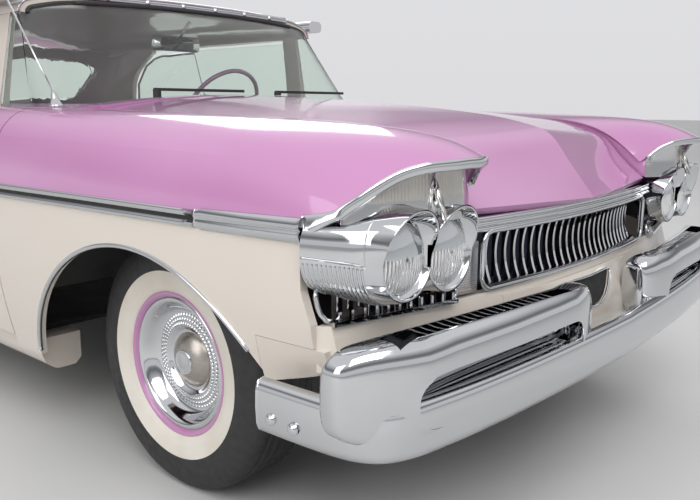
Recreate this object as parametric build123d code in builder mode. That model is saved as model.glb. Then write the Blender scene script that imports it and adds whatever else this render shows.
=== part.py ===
"""A full-size two-door hardtop car of the late 1950s, in millimetres.

X runs forward, Y to the car's own left and Z up. The origin is on the floor, at the middle of
the car's length and width. Sides are modelled at +Y and mirrored in the XZ plane.
"""
from build123d import *
from collections import namedtuple
from math import atan2, cos, degrees, hypot, radians, sin, tan
import os

os.makedirs("parts", exist_ok=True)

# Driving dimensions
WHEELBASE = 3099
FRONT_AXLE_X = 1800
REAR_AXLE_X = FRONT_AXLE_X - WHEELBASE
FRONT_END_X = 2700
REAR_END_X = -2700
HALF_TRACK = 755
TYRE_RADIUS = 348
RIM_RADIUS = 190
AXLE_Z = TYRE_RADIUS
KINGPIN_Y = 690
BUMPER_END_Y = 1030

# Shared fits: the gap round a moving panel, the clearance at a seat, and the panels' walls
PANEL_GAP = 6
SEAT_GAP = 0.3
SKIN = 20
GLASS = 7

# Where the panels meet
DOOR_FRONT_X = 1144
DOOR_REAR_X = -107
DOOR_BOTTOM_Z = 325
BELT_Y = 780
HOOD_REAR_X = 1193
LID_FRONT_X = -1395
FLOOR_Z = 320
FLOOR_WALL = 14
ROCKER_BOTTOM_Z = 215
FRONT_ARCH_X, FRONT_ARCH_Z, FRONT_ARCH_R = 1812, 139, 548
REAR_ARCH_X, REAR_ARCH_Z, REAR_ARCH_R = -1310, 175, 460
DECK_FRONT_X = LID_FRONT_X + 4
REAR_BAR_BOTTOM_Z, REAR_BAR_TOP_Z = 340, 490
RAIL_IN_Y, RAIL_OUT_Y = 365, 435
RAIL_TOP_Z = 480


def finish(piece, node):
    """Label a finished piece and write its file."""
    piece.label = node
    export_step(piece, f"parts/{node}.step")


def finish_pair(piece, node):
    """Write a left piece and its mirror image on the right."""
    finish(piece, f"{node}_left")
    finish(mirror(piece, about=Plane.XZ, mode=Mode.PRIVATE), f"{node}_right")


def tangent_arcs(points, heading):
    """Arcs through the points, each tangent to the last, as (start, middle, end, three headings)."""
    arcs = []
    for (a0, b0), (a1, b1) in zip(points, points[1:]):
        chord = degrees(atan2(b1 - b0, a1 - a0))
        bend = chord - heading
        sag = hypot(a1 - a0, b1 - b0) / 2 * tan(radians(bend / 2))
        middle = ((a0 + a1) / 2 + sag * sin(radians(chord)), (b0 + b1) / 2 - sag * cos(radians(chord)))
        arcs.append(((a0, b0), middle, (a1, b1), heading, chord, chord + bend))
        heading = chord + bend
    return arcs


def shifted(point, heading, distance):
    """The point moved square to the heading, to its right hand."""
    turn = radians(heading)
    return (point[0] + distance * sin(turn), point[1] - distance * cos(turn))


def parallel_arcs(chains, wall):
    """Tangent arcs through each chain, and the corners of their parallel on the inside."""
    arcs = [arc for points, heading in chains for arc in tangent_arcs(points, heading)]
    inner = [shifted(arcs[0][0], arcs[0][3], wall)]
    for before, after in zip(arcs, arcs[1:]):
        fold = (after[3] - before[5]) / 2
        inner.append(shifted(before[2], before[5] + fold, wall / cos(radians(fold))))
    inner.append(shifted(arcs[-1][2], arcs[-1][5], wall))
    return arcs, inner


def wall_outline(chains, wall):
    """Draw the closed outline of a bent wall: tangent arcs, and their parallels on the inside."""
    arcs, inner = parallel_arcs(chains, wall)
    for start, middle, end, *_ in arcs:
        ThreePointArc(start, middle, end)
    Line(arcs[-1][2], inner[-1])
    for i in reversed(range(len(arcs))):
        middle = shifted(arcs[i][1], arcs[i][4], wall)
        ThreePointArc(inner[i + 1], middle, inner[i])
    Line(inner[0], arcs[0][0])


# Body side: one skin from the lamp brow to the tail, in sections across the car.
# gap is its edge at the hood or the boot lid, spear the crease under the side moulding.
Section = namedtuple("Section", "x gap_y gap_z crown_y crown_z edge_y edge_z spear_y spear_z low_y low_z "
                     "hem_y hem_z")
SIDE = [
    Section(2640, 515, 760, 690, 905, 850, 850, 925, 768, 928, 640, 918, 540),
    Section(2500, 530, 835, 700, 968, 895, 885, 955, 782, 957, 640, 935, 520),
    Section(2380, 545, 925, 730, 985, 915, 905, 968, 786, 966, 630, 935, 480),
    Section(2100, 590, 983, 775, 998, 932, 920, 982, 786, 974, 600, 935, 400),
    Section(1650, 618, 994, 812, 1008, 950, 928, 996, 784, 988, 580, 942, 300),
    Section(1150, 640, 1006, 838, 1016, 965, 934, 1009, 782, 1003, 565, 955, 290),
    Section(500, 650, 1010, 850, 1018, 975, 936, 1012, 780, 1007, 560, 960, 285),
    Section(-200, 650, 1010, 855, 1018, 980, 936, 1013, 780, 1009, 560, 962, 285),
    Section(-1000, 650, 1006, 855, 1016, 982, 936, 1018, 780, 1010, 560, 962, 290),
    Section(-1800, 645, 985, 850, 1012, 985, 930, 1020, 775, 1008, 560, 955, 300),
    Section(-2400, 640, 940, 840, 990, 975, 905, 1006, 760, 992, 560, 940, 380),
    Section(-2640, 635, 880, 820, 950, 950, 865, 980, 735, 970, 560, 930, 430),
]


def side_chains(s):
    """The two chains of arcs down one section of the body side, each with its first heading."""
    rise = 2 * degrees(atan2(s.crown_z - s.gap_z, s.crown_y - s.gap_y))
    upper = [(s.gap_y, s.gap_z), (s.crown_y, s.crown_z), (s.edge_y, s.edge_z), (s.spear_y, s.spear_z)]
    lower = [(s.spear_y, s.spear_z), (s.low_y, s.low_z), (s.hem_y, s.hem_z)]
    return [(upper, rise), (lower, -88)]


def side_volume(depth):
    """Everything inboard of the body side's surface, from so far under it."""
    with BuildPart() as volume:
        for s in SIDE:
            with BuildSketch(Plane.YZ.offset(s.x)):
                with BuildLine():
                    arcs, under = parallel_arcs(side_chains(s), depth)
                    for i in range(len(arcs)):
                        ThreePointArc(under[i], shifted(arcs[i][1], arcs[i][4], depth), under[i + 1])
                    Polyline([under[-1], (s.gap_y, s.hem_z), under[0]])
                make_face()
        loft()
    return volume.part


with BuildPart() as side_skin:
    for s in SIDE:
        with BuildSketch(Plane.YZ.offset(s.x)):
            with BuildLine():
                wall_outline(side_chains(s), SKIN)
            make_face()
    loft()
side_mass = side_volume(SKIN / 2)
under_skin = side_volume(SKIN + SEAT_GAP)

# Front fender: the skin ahead of the door, with the wheel arch and the brow over the lamps cut out
BROW_PLAN = [(2490, 515), (2490, 521), (2616, 685), (2420, 985), (2420, 1100)]
BROW_SIDE = [(2720, 540), (2412, 540), (2412, 600), (2391, 668), (2391, 813), (2463, 829), (2500, 860),
             (2540, 903), (2575, 919), (2720, 919)]
FLANGE_FOOT_Z = 800
with BuildPart() as hood_flange:
    add(side_mass)
    with BuildSketch(Plane.XY.offset(FLANGE_FOOT_Z)):
        with BuildLine():
            inner = [(s.x, s.gap_y) for s in SIDE[1:6]]
            Polyline(inner + [(x, y + SKIN) for x, y in reversed(inner)], close=True)
        make_face()
    extrude(amount=300, mode=Mode.INTERSECT)
with BuildPart() as front_fender:
    add(side_skin.part)
    split(bisect_by=Plane.YZ.offset(DOOR_FRONT_X + PANEL_GAP), keep=Keep.TOP)
    with BuildSketch(Plane.XZ):
        with Locations((FRONT_ARCH_X, FRONT_ARCH_Z)):
            Circle(FRONT_ARCH_R)
        with BuildLine():
            Polyline([(2720, 550), (2250, 550), (2250, 200), (2720, 200)], close=True)
        make_face()
        with BuildLine():
            Polyline(BROW_SIDE, close=True)
        make_face()
    extrude(amount=-1200, mode=Mode.SUBTRACT)
    with BuildSketch(Plane.XY.offset(500)):
        with BuildLine():
            ThreePointArc(BROW_PLAN[2], (2540, 880), BROW_PLAN[3])
            Line(BROW_PLAN[3], (2420, 1100))
            Polyline([(2420, 1100), (2800, 1100), (2800, 400), (2490, 400), BROW_PLAN[1]])
            ThreePointArc(BROW_PLAN[1], (2580, 600), BROW_PLAN[2])
        make_face()
    extrude(amount=600, mode=Mode.SUBTRACT)
    add(hood_flange.part)
finish_pair(front_fender.part, "front_fender")

# Door: the skin between its gaps, on a hollowed trim body that leans in to the belt
GLASS_FOOT_Y, GLASS_TOP_Y = 806, 712
GLASS_FOOT_Z, GLASS_TOP_Z = 960, 1317
SLOT = GLASS + 6
lean = Vector(0, GLASS_TOP_Y - GLASS_FOOT_Y, GLASS_TOP_Z - GLASS_FOOT_Z).normalized()
pane_plane = Plane((0, GLASS_FOOT_Y, GLASS_FOOT_Z), x_dir=(1, 0, 0), z_dir=Vector(1, 0, 0).cross(lean))
PANE_HEIGHT = hypot(GLASS_TOP_Y - GLASS_FOOT_Y, GLASS_TOP_Z - GLASS_FOOT_Z)
TRIM_SIDE = [(BELT_Y, 1100), (1100, 1100), (1100, DOOR_BOTTOM_Z), (880, DOOR_BOTTOM_Z), (BELT_Y, 1000)]
VENT_FRONT_X, VENT_POST_X = 640, 480


def trim_body(front_x, rear_x):
    """The thick body behind the skin of a door or a rear side."""
    with BuildPart() as body:
        add(side_mass)
        with BuildSketch(Plane.YZ.offset(rear_x)):
            with BuildLine():
                Polyline(TRIM_SIDE, close=True)
            make_face()
        extrude(amount=front_x - rear_x, mode=Mode.INTERSECT)
    return body.part


door_trim = trim_body(DOOR_FRONT_X, DOOR_REAR_X)
with BuildPart() as door:
    add(side_skin.part)
    split(bisect_by=Plane.YZ.offset(DOOR_FRONT_X), keep=Keep.BOTTOM)
    split(bisect_by=Plane.YZ.offset(DOOR_REAR_X), keep=Keep.TOP)
    split(bisect_by=Plane.XY.offset(DOOR_BOTTOM_Z), keep=Keep.TOP)
    split(bisect_by=Plane.XZ.offset(-BELT_Y), keep=Keep.BOTTOM)
    add(door_trim)
    with BuildSketch(pane_plane):
        with BuildLine():
            Polyline([(DOOR_REAR_X + 20, -SEAT_GAP), (VENT_FRONT_X, -SEAT_GAP), (VENT_FRONT_X, 120),
                      (DOOR_REAR_X + 20, 120)], close=True)
        make_face()
    extrude(amount=SLOT / 2, both=True, mode=Mode.SUBTRACT)
finish_pair(door.part, "door")

# Door glass: a frameless pane that stands in the slot
with BuildPart() as door_glass:
    with BuildSketch(pane_plane):
        with BuildLine():
            Polyline([(DOOR_REAR_X + 30, 0), (VENT_FRONT_X - 10, 0), (VENT_FRONT_X - 10, PANE_HEIGHT - 40),
                      (VENT_FRONT_X + 2, PANE_HEIGHT), (DOOR_REAR_X + 30, PANE_HEIGHT)], close=True)
        make_face()
    extrude(amount=GLASS / 2, both=True)
finish_pair(door_glass.part, "door_glass")

# Quarter panel: the skin behind the door, with the rear arch cut out and the trim body of the cabin
TRIM_REAR_X = -700
TAIL_CAP_X, TAIL_PANEL_X = -2620, -2600
quarter_trim = trim_body(DOOR_REAR_X - PANEL_GAP, TRIM_REAR_X)
with BuildPart() as quarter_panel:
    add(side_skin.part)
    split(bisect_by=Plane.YZ.offset(DOOR_REAR_X - PANEL_GAP), keep=Keep.BOTTOM)
    with BuildSketch(Plane.XZ):
        with Locations((REAR_ARCH_X, REAR_ARCH_Z)):
            Circle(REAR_ARCH_R)
    extrude(amount=-1200, mode=Mode.SUBTRACT)
    with BuildSketch(Plane.YZ.offset(DECK_FRONT_X)):
        with Locations((BELT_Y / 2, 1000)):
            Rectangle(BELT_Y, 400)
    extrude(amount=2000, mode=Mode.SUBTRACT)
    with BuildSketch(Plane.XZ):
        with Locations((-2790, 0)):
            Rectangle(1000, 2 * (REAR_BAR_TOP_Z + PANEL_GAP))
    extrude(amount=-1200, mode=Mode.SUBTRACT)
    add(quarter_trim)
    split(bisect_by=Plane.YZ.offset(TAIL_CAP_X), keep=Keep.TOP)
    with BuildSketch(Plane.YZ.offset(TAIL_CAP_X)):
        with BuildLine():
            Polyline([(700, 500), (935, 500), (961, 560), (971, 736), (943, 862), (820, 941), (700, 900)], close=True)
        make_face()
    extrude(amount=TAIL_PANEL_X - SEAT_GAP - TAIL_CAP_X)
finish_pair(quarter_panel.part, "quarter_panel")

# Rockers: the sills under the doors
ROCKER_IN_Y, ROCKER_OUT_Y = 800, 930
with BuildPart() as rockers:
    with BuildSketch(Plane.YZ.offset(TRIM_REAR_X)):
        with BuildLine():
            Polyline([(ROCKER_IN_Y, FLOOR_Z), (ROCKER_IN_Y, ROCKER_BOTTOM_Z + 20),
                      (ROCKER_IN_Y + 20, ROCKER_BOTTOM_Z), (ROCKER_OUT_Y - 50, ROCKER_BOTTOM_Z)])
            ThreePointArc((ROCKER_OUT_Y - 50, ROCKER_BOTTOM_Z), (ROCKER_OUT_Y - 12, 245), (ROCKER_OUT_Y, 285))
            Polyline([(ROCKER_OUT_Y, 285), (ROCKER_OUT_Y, FLOOR_Z), (ROCKER_IN_Y, FLOOR_Z)])
        make_face()
    extrude(amount=1240 - TRIM_REAR_X)
    mirror(about=Plane.XZ)
finish(rockers.part, "rockers")

# Hood: sections along the car at three places between its middle crease and its edge
Rib = namedtuple("Rib", "y rear_z mid_z fore_x fore_z bend_x bend_z nose_x nose_z lip_x lip_z")
HOOD = [
    Rib(0, 1064, 1036, 2200, 1003, 2385, 968, 2448, 925, 2563, 783),
    Rib(320, 1050, 1022, 2180, 988, 2350, 950, 2412, 905, 2532, 792),
    Rib(680, 1004, 989, 2100, 979, 2290, 940, 2370, 892, 2475, 800),
]
HOOD_WALL = 18
with BuildPart() as hood:
    for r in HOOD:
        with BuildSketch(Plane.XZ.offset(-r.y)):
            with BuildLine():
                wall_outline([([(HOOD_REAR_X, r.rear_z), (1800, r.mid_z), (r.fore_x, r.fore_z),
                                (r.bend_x, r.bend_z), (r.nose_x, r.nose_z), (r.lip_x, r.lip_z)], -2)], HOOD_WALL)
            make_face()
    loft()
    with BuildSketch(Plane.XY.offset(600)) as hood_plan:
        with BuildLine():
            edge = [(s.x, s.gap_y - PANEL_GAP) for s in SIDE[:6]]
            Polyline([(2700, 0), (2700, 500)] + edge + [(1100, 636), (1100, 0)], close=True)
        make_face()
    extrude(amount=600, mode=Mode.INTERSECT)
    mirror(about=Plane.XZ)
finish(hood.part, "hood")

# Boot lid: sections along the car, folded down over the tail
Lid = namedtuple("Lid", "y front_z mid_z fold_x fold_z back_x back_z end_x end_z")
LID = [
    Lid(0, 1010, 1000, -2360, 950, -2520, 880, -2590, 700),
    Lid(320, 1004, 994, -2350, 944, -2510, 875, -2582, 700),
    Lid(700, 978, 966, -2330, 918, -2480, 858, -2556, 700),
]
with BuildPart() as trunk_lid:
    for r in LID:
        with BuildSketch(Plane.XZ.offset(-r.y)):
            with BuildLine():
                wall_outline([([(r.end_x, r.end_z), (r.back_x, r.back_z), (r.fold_x, r.fold_z),
                                (-1900, r.mid_z), (LID_FRONT_X, r.front_z)], 82)], HOOD_WALL)
            make_face()
    loft()
    with BuildSketch(Plane.XY.offset(500)):
        with BuildLine():
            edge = [(s.x, s.gap_y - PANEL_GAP) for s in SIDE[8:]]
            Polyline([(LID_FRONT_X + 20, 0), (LID_FRONT_X + 20, 640)] + edge[1:] + [(-2700, 600), (-2700, 0)],
                     close=True)
        make_face()
    extrude(amount=700, mode=Mode.INTERSECT)
    mirror(about=Plane.XZ)
finish(trunk_lid.part, "trunk_lid")

# Windscreen: a wrapped pane between an outline at the cowl and one at the roof
SCREEN_FOOT_Z, SCREEN_TOP_Z = 1000, 1386
SCREEN_REAR_X = 742


def screen_outline(z, grow):
    """Points of the screen's outline at one height: middle, bend start, bend end and rear edge."""
    share = (z - SCREEN_FOOT_Z) / (SCREEN_TOP_Z - SCREEN_FOOT_Z)
    foot = [(1157, 0), (1128, 590), (940, 758), (SCREEN_REAR_X, 768)]
    top = [(890, 0), (838, 560), (770, 690), (SCREEN_REAR_X, 694)]
    points = [(a + share * (c - a), b + share * (d - b)) for (a, b), (c, d) in zip(foot, top)]
    (x0, y0), (x1, y1), (x2, y2), (x3, y3) = points
    return [(x0 + grow, y0), (x1 + grow, y1), (x2 + grow / 2, y2 + grow), (x3, y3 + grow)]


def draw_screen_edge(z, grow, rear_x):
    """Draw one edge of the screen from its left rear end round to the middle, then mirrored."""
    (x0, y0), (x1, y1), (x2, y2), (x3, y3) = screen_outline(z, grow)
    ThreePointArc((x1, -y1), (x0, 0), (x1, y1))
    slope = degrees(atan2(x0 - x1, y1)) * 2
    bend = tangent_arcs([(x1, y1), (x2, y2)], 90 + slope)[0]
    for flip in (1, -1):
        ThreePointArc(*[(x, flip * y) for x, y in bend[:3]])
        Line((x2, flip * y2), (rear_x, flip * y3))


def screen_fill(grow, low_z, high_z, rear_x):
    """Everything inside the screen, grown by so much, back to a rear plane."""
    with BuildPart() as fill:
        for z in (low_z, high_z):
            with BuildSketch(Plane.XY.offset(z)):
                with BuildLine():
                    draw_screen_edge(z, grow, rear_x)
                    y3 = screen_outline(z, grow)[3][1]
                    Line((rear_x, y3), (rear_x, -y3))
                make_face()
        loft()
    return fill.part


screen_inside = screen_fill(-GLASS, SCREEN_FOOT_Z - 50, SCREEN_TOP_Z + 50, 500)
screen_outside = screen_fill(0, SCREEN_FOOT_Z + SEAT_GAP, SCREEN_TOP_Z, SCREEN_REAR_X)

# Cowl: the panel ahead of the screen, and the wings beside it that carry the pillars
PILLAR_FRONT_X, PILLAR_REAR_X = 736, 636
COWL_FLOOR_Z = 984
DASH_HALF_WIDTH = 695
COWL_HALF_WIDTH = BELT_Y - PANEL_GAP
screen_clear = screen_fill(3, SCREEN_FOOT_Z, SCREEN_TOP_Z, 400)
with BuildPart() as cowl:
    for x, middle_z, edge_z in ((HOOD_REAR_X - PANEL_GAP, 1064, 1004), (900, 1070, 1008), (600, 1070, 1008)):
        with BuildSketch(Plane.YZ.offset(x)):
            with BuildLine():
                ThreePointArc((-COWL_HALF_WIDTH, edge_z), (0, middle_z), (COWL_HALF_WIDTH, edge_z))
                Polyline([(COWL_HALF_WIDTH, edge_z), (COWL_HALF_WIDTH, COWL_FLOOR_Z),
                          (-COWL_HALF_WIDTH, COWL_FLOOR_Z), (-COWL_HALF_WIDTH, edge_z)])
            make_face()
    loft()
    add(screen_clear, mode=Mode.SUBTRACT)
    with BuildSketch(Plane.XY.offset(COWL_FLOOR_Z)) as cowl_cut:
        with Locations((PILLAR_REAR_X - 500, 0)):
            Rectangle(1000, 2000)
        with Locations((965 - 500, 0)):
            Rectangle(1000, 2 * DASH_HALF_WIDTH + 6)
        for side in (1, -1):
            with Locations((DOOR_FRONT_X + PANEL_GAP + 100, side * (640 - PANEL_GAP + 100))):
                Rectangle(200, 200)
    extrude(amount=200, mode=Mode.SUBTRACT)
    with BuildSketch(Plane.XY.offset(SCREEN_FOOT_Z)):
        for side in (1, -1):
            with Locations((940 - 500, side * 770)):
                Rectangle(1000, 20)
    extrude(amount=200, mode=Mode.SUBTRACT)
finish(cowl.part, "cowl")

# Roof: a crowned shell, with the pillars of the screen and the sail panels round the rear window
Arch = namedtuple("Arch", "x top_z mid_y mid_z edge_y edge_z rail_y rail_z")
ROOF = [
    Arch(880, 1414, 500, 1402, 664, 1376, 700, 1338),
    Arch(400, 1433, 540, 1416, 688, 1384, 716, 1330),
    Arch(-200, 1436, 540, 1419, 690, 1386, 717, 1330),
    Arch(-650, 1424, 520, 1408, 670, 1376, 706, 1322),
    Arch(-1000, 1390, 440, 1374, 600, 1344, 650, 1296),
]
ROOF_WALL = 26
SAIL_WALL = 30
SAIL_FOOT_Z, SAIL_TOP_Z = 1019, 1340
SAIL_FRONT_X = -440
SIDE_WINDOW = [(-800, 1010), (-765, 1083), (-647, 1218), (-481, 1305), (-380, 1318)]


def sail_fill(inset, low_z, high_z):
    """The cabin's tapered volume behind the side windows, inset from the sail panels' skin."""
    with BuildPart() as fill:
        for z in (low_z, high_z):
            share = (z - SAIL_FOOT_Z) / (SAIL_TOP_Z - SAIL_FOOT_Z)
            half_width = 803 - share * 90 - inset
            rear_x = -1368 + share * 430 + inset
            with BuildSketch(Plane.XY.offset(z)):
                with Locations((rear_x + 700, 0)):
                    RectangleRounded(1400, 2 * half_width, 250 - inset)
        loft()
    return fill.part


sail_inside = sail_fill(SAIL_WALL, SAIL_FOOT_Z - 40, SAIL_TOP_Z + 60)
sail_outside = sail_fill(0, SAIL_FOOT_Z, SAIL_TOP_Z)
with BuildPart() as rear_opening:
    with BuildSketch(Plane.YZ.offset(-1400)):
        with Locations((0, 1168)):
            RectangleRounded(1330, 236, 85)
    extrude(amount=420)
with BuildPart() as side_openings:
    with BuildSketch(Plane.XZ):
        with BuildLine():
            Line((-380, 1318), (-380, 1010))
            Line((-380, 1010), SIDE_WINDOW[0])
            Line(SIDE_WINDOW[0], SIDE_WINDOW[1])
            for start, middle, end, *_ in tangent_arcs(SIDE_WINDOW[1:], 65):
                ThreePointArc(start, middle, end)
        make_face()
    extrude(amount=900, both=True)
with BuildPart() as sails:
    add(sail_outside)
    split(bisect_by=Plane.YZ.offset(SAIL_FRONT_X), keep=Keep.BOTTOM)
    add(sail_inside, mode=Mode.SUBTRACT)
    add(side_openings.part, mode=Mode.SUBTRACT)
    add(rear_opening.part, mode=Mode.SUBTRACT)
with BuildPart() as roof:
    for a in ROOF:
        with BuildSketch(Plane.YZ.offset(a.x)):
            with BuildLine():
                wall_outline([([(0, a.top_z), (a.mid_y, a.mid_z), (a.edge_y, a.edge_z), (a.rail_y, a.rail_z)], 0)],
                             ROOF_WALL)
            make_face()
    loft()
    mirror(about=Plane.XZ)
    with BuildSketch(Plane.XY.offset(1200)):
        with BuildLine():
            ThreePointArc((800, -700), (884, 0), (800, 700))
            Polyline([(800, 700), (760, 900), (1000, 900), (1000, -900), (760, -900), (800, -700)])
        make_face()
    extrude(amount=300, mode=Mode.SUBTRACT)
    add(sails.part)
with BuildPart() as pillar:
    with BuildSketch(Plane.XY.offset(SCREEN_FOOT_Z + SEAT_GAP)):
        with Locations(((PILLAR_FRONT_X + PILLAR_REAR_X) / 2, 752)):
            Rectangle(PILLAR_FRONT_X - PILLAR_REAR_X, 40)
    with BuildSketch(Plane.XY.offset(1345)):
        with Locations((PILLAR_REAR_X + 57, 692)):
            Rectangle(88, 22)
    loft()
with BuildPart() as roof_whole:
    add(roof.part)
    add(pillar.part)
    add(mirror(pillar.part, about=Plane.XZ, mode=Mode.PRIVATE))
finish(roof_whole.part, "roof")

# The screen ends just under the roof's shell
with BuildPart() as roof_over:
    for a in ROOF[:3]:
        with BuildSketch(Plane.YZ.offset(a.x)):
            with BuildLine():
                rib = [(0, a.top_z), (a.mid_y, a.mid_z), (a.edge_y, a.edge_z), (a.rail_y, a.rail_z)]
                under = ROOF_WALL + 2 * SEAT_GAP
                arcs = tangent_arcs(rib, 0)
                for start, middle, end, *headings in arcs:
                    ThreePointArc(*[shifted(p, h, under) for p, h in zip((start, middle, end), headings)])
                rail = shifted(arcs[-1][2], arcs[-1][5], under)
                Polyline([rail, (rail[0], rail[1] - 1), (900, a.rail_z - 1), (900, 1600), (0, 1600),
                          shifted(arcs[0][0], arcs[0][3], under)])
            make_face()
    loft()
    extrude(roof_over.faces().sort_by(Axis.X)[-1], amount=60)
    mirror(about=Plane.XZ)
with BuildPart() as windshield:
    add(screen_outside)
    add(screen_inside, mode=Mode.SUBTRACT)
    add(roof_over.part, mode=Mode.SUBTRACT)
finish(windshield.part, "windshield")

# Rear deck: the shelf that carries the rear window, ahead of the boot lid
with BuildPart() as rear_deck:
    with BuildSketch(Plane.YZ.offset(LID_FRONT_X + PANEL_GAP)):
        with BuildLine():
            ThreePointArc((-BELT_Y, 1004), (0, SAIL_FOOT_Z - SEAT_GAP), (BELT_Y, 1004))
            Polyline([(BELT_Y, 1004), (BELT_Y, 985), (-BELT_Y, 985), (-BELT_Y, 1004)])
        make_face()
    extrude(amount=370)
finish(rear_deck.part, "rear_deck")

# Fixed glass behind the doors: the wrapped rear window and the two quarter windows
rear_glass_out = sail_fill(12, SAIL_FOOT_Z - 10, SAIL_TOP_Z + 20)
rear_glass_in = sail_fill(12 + GLASS, SAIL_FOOT_Z - 30, SAIL_TOP_Z + 60)
with BuildPart() as quarter_pane:
    with BuildSketch(pane_plane):
        with BuildLine():
            Polyline([(DOOR_REAR_X + 24, 62), (-740, 62), (-690, 190), (-560, 300), (-470, 336), (-380, 352),
                      (DOOR_REAR_X + 24, 355)], close=True)
        make_face()
    extrude(amount=GLASS / 2, both=True)
with BuildPart() as rear_glass:
    add(rear_glass_out)
    add(rear_glass_in, mode=Mode.SUBTRACT)
    add(rear_opening.part, mode=Mode.INTERSECT)
with BuildPart() as rear_windows:
    add(rear_glass.part)
    add(quarter_pane.part)
    add(mirror(quarter_pane.part, about=Plane.XZ, mode=Mode.PRIVATE))
finish(rear_windows.part, "rear_windows")

# Tail: the panel under the boot lid, with the pad and holes for a number plate
PLATE_PAD_X, PLATE_Z = -2606, 572
PLATE_HOLES_Y, PLATE_HOLES_Z, PLATE_HOLE_RADIUS = 177.8, 120.65, 3.5
with BuildPart() as tail_panel:
    with BuildSketch(Plane.XZ):
        with BuildLine():
            Polyline([(-2560, 694), (-2588, 694), (TAIL_PANEL_X, 600), (-2590, 496), (-2570, 496), (-2578, 600)],
                     close=True)
        make_face()
    extrude(amount=900, both=True)
    with BuildSketch(Plane.YZ.offset(PLATE_PAD_X)):
        with Locations((0, PLATE_Z)):
            Rectangle(320, 150)
            with GridLocations(PLATE_HOLES_Y, PLATE_HOLES_Z, 2, 2):
                Circle(PLATE_HOLE_RADIUS, mode=Mode.SUBTRACT)
    extrude(amount=12)
    with BuildSketch(Plane.YZ.offset(PLATE_PAD_X)):
        with Locations((0, PLATE_Z)):
            with GridLocations(PLATE_HOLES_Y, PLATE_HOLES_Z, 2, 2):
                Circle(PLATE_HOLE_RADIUS)
    extrude(amount=60, mode=Mode.SUBTRACT)
finish(tail_panel.part, "tail_panel")

# Front valance: the painted panel between the bumper and the grille, round to the fenders' feet
FENDER_NOSE_X = 2412 + SEAT_GAP
FENDER_FOOT_Z = 550
VALANCE_REAR_X, VALANCE_SIDE_FRONT_X = 2251, 2440
VALANCE_LEAN = 30
GRILLE_BOTTOM_Z, GRILLE_TOP_Z = 597, 764
with BuildPart() as front_valance:
    for z, lean in ((500, VALANCE_LEAN), (GRILLE_BOTTOM_Z - SEAT_GAP, 0)):
        with BuildSketch(Plane.XY.offset(z)):
            with BuildLine():
                ThreePointArc((2437 + lean, -928), (2545 + lean, 0), (2437 + lean, 928))
                Polyline([(2437 + lean, 928), (FENDER_NOSE_X, 945), (FENDER_NOSE_X, 915), (2422 + lean, 900)])
                ThreePointArc((2422 + lean, 900), (2522 + lean, 0), (2422 + lean, -900))
                Polyline([(2422 + lean, -900), (FENDER_NOSE_X, -915), (FENDER_NOSE_X, -945), (2437 + lean, -928)])
            make_face()
    loft()
with BuildPart() as valance_wing:
    add(side_skin.part)
    split(bisect_by=Plane.YZ.offset(VALANCE_REAR_X), keep=Keep.TOP)
    split(bisect_by=Plane.YZ.offset(VALANCE_SIDE_FRONT_X), keep=Keep.BOTTOM)
    split(bisect_by=Plane.XY.offset(FENDER_FOOT_Z - 1), keep=Keep.BOTTOM)
with BuildPart() as valance_whole:
    add(front_valance.part)
    add(valance_wing.part)
    add(mirror(valance_wing.part, about=Plane.XZ, mode=Mode.PRIVATE))
finish(valance_whole.part, "front_valance")

# Grille: bowed upright bars between two rails
GRILLE_BARS = 25
GRILLE_PITCH = 36
GRILLE_RAIL = 14
GRILLE_HALF_WIDTH = GRILLE_PITCH * GRILLE_BARS / 2 + 20
GRILLE_DEPTH = 40


def grille_x(y):
    """How far forward the grille's face stands at a place across the car."""
    return 2550 - 45 * (y / GRILLE_HALF_WIDTH) ** 2


with BuildPart() as grille:
    for z in (GRILLE_BOTTOM_Z, GRILLE_TOP_Z - GRILLE_RAIL):
        with BuildSketch(Plane.XY.offset(z)):
            with BuildLine():
                end_x = grille_x(GRILLE_HALF_WIDTH)
                for depth in (0, GRILLE_DEPTH):
                    ThreePointArc((end_x - depth, -GRILLE_HALF_WIDTH), (2550 - depth, 0),
                                  (end_x - depth, GRILLE_HALF_WIDTH))
                for side in (1, -1):
                    Line((end_x, side * GRILLE_HALF_WIDTH), (end_x - GRILLE_DEPTH, side * GRILLE_HALF_WIDTH))
            make_face()
        extrude(amount=GRILLE_RAIL)
    for i in range(GRILLE_BARS):
        y = (i - (GRILLE_BARS - 1) / 2) * GRILLE_PITCH
        with BuildSketch(Plane.XZ.offset(-y)):
            with BuildLine():
                x = grille_x(y) - 6
                ThreePointArc((x, GRILLE_BOTTOM_Z + 5), (x - 20, 684), (x, GRILLE_TOP_Z - 5))
                Polyline([(x, GRILLE_TOP_Z - 5), (x - 28, GRILLE_TOP_Z - 5), (x - 28, GRILLE_BOTTOM_Z + 5),
                          (x, GRILLE_BOTTOM_Z + 5)])
            make_face()
        extrude(amount=5, both=True)

# Side grilles under the lamps: a rail on the valance, an end post, and upright bars
SIDE_BARS = 11
side_start, side_end = Vector(2500, 598, 0), Vector(2425, 925, 0)
side_way = (side_end - side_start).normalized()
with BuildPart() as side_grille:
    for offset, depth, low_z, high_z in ((-20, 0, GRILLE_BOTTOM_Z, GRILLE_BOTTOM_Z + 10), (0, 8, 605, 626)):
        if depth == 0:
            with BuildSketch(Plane(side_start + Vector(0, 0, low_z), x_dir=side_way)):
                with Locations((side_way.dot(side_end - side_start) / 2, -12)):
                    Rectangle((side_end - side_start).length, 24)
            extrude(amount=high_z - low_z)
            continue
        for i in range(SIDE_BARS):
            place = side_start + side_way * ((i + 0.5) * (side_end - side_start).length / SIDE_BARS)
            with BuildSketch(Plane(place + Vector(0, 0, low_z), x_dir=side_way)):
                with Locations((0, -12)):
                    Rectangle(6, 20)
            extrude(amount=high_z - low_z)
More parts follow.
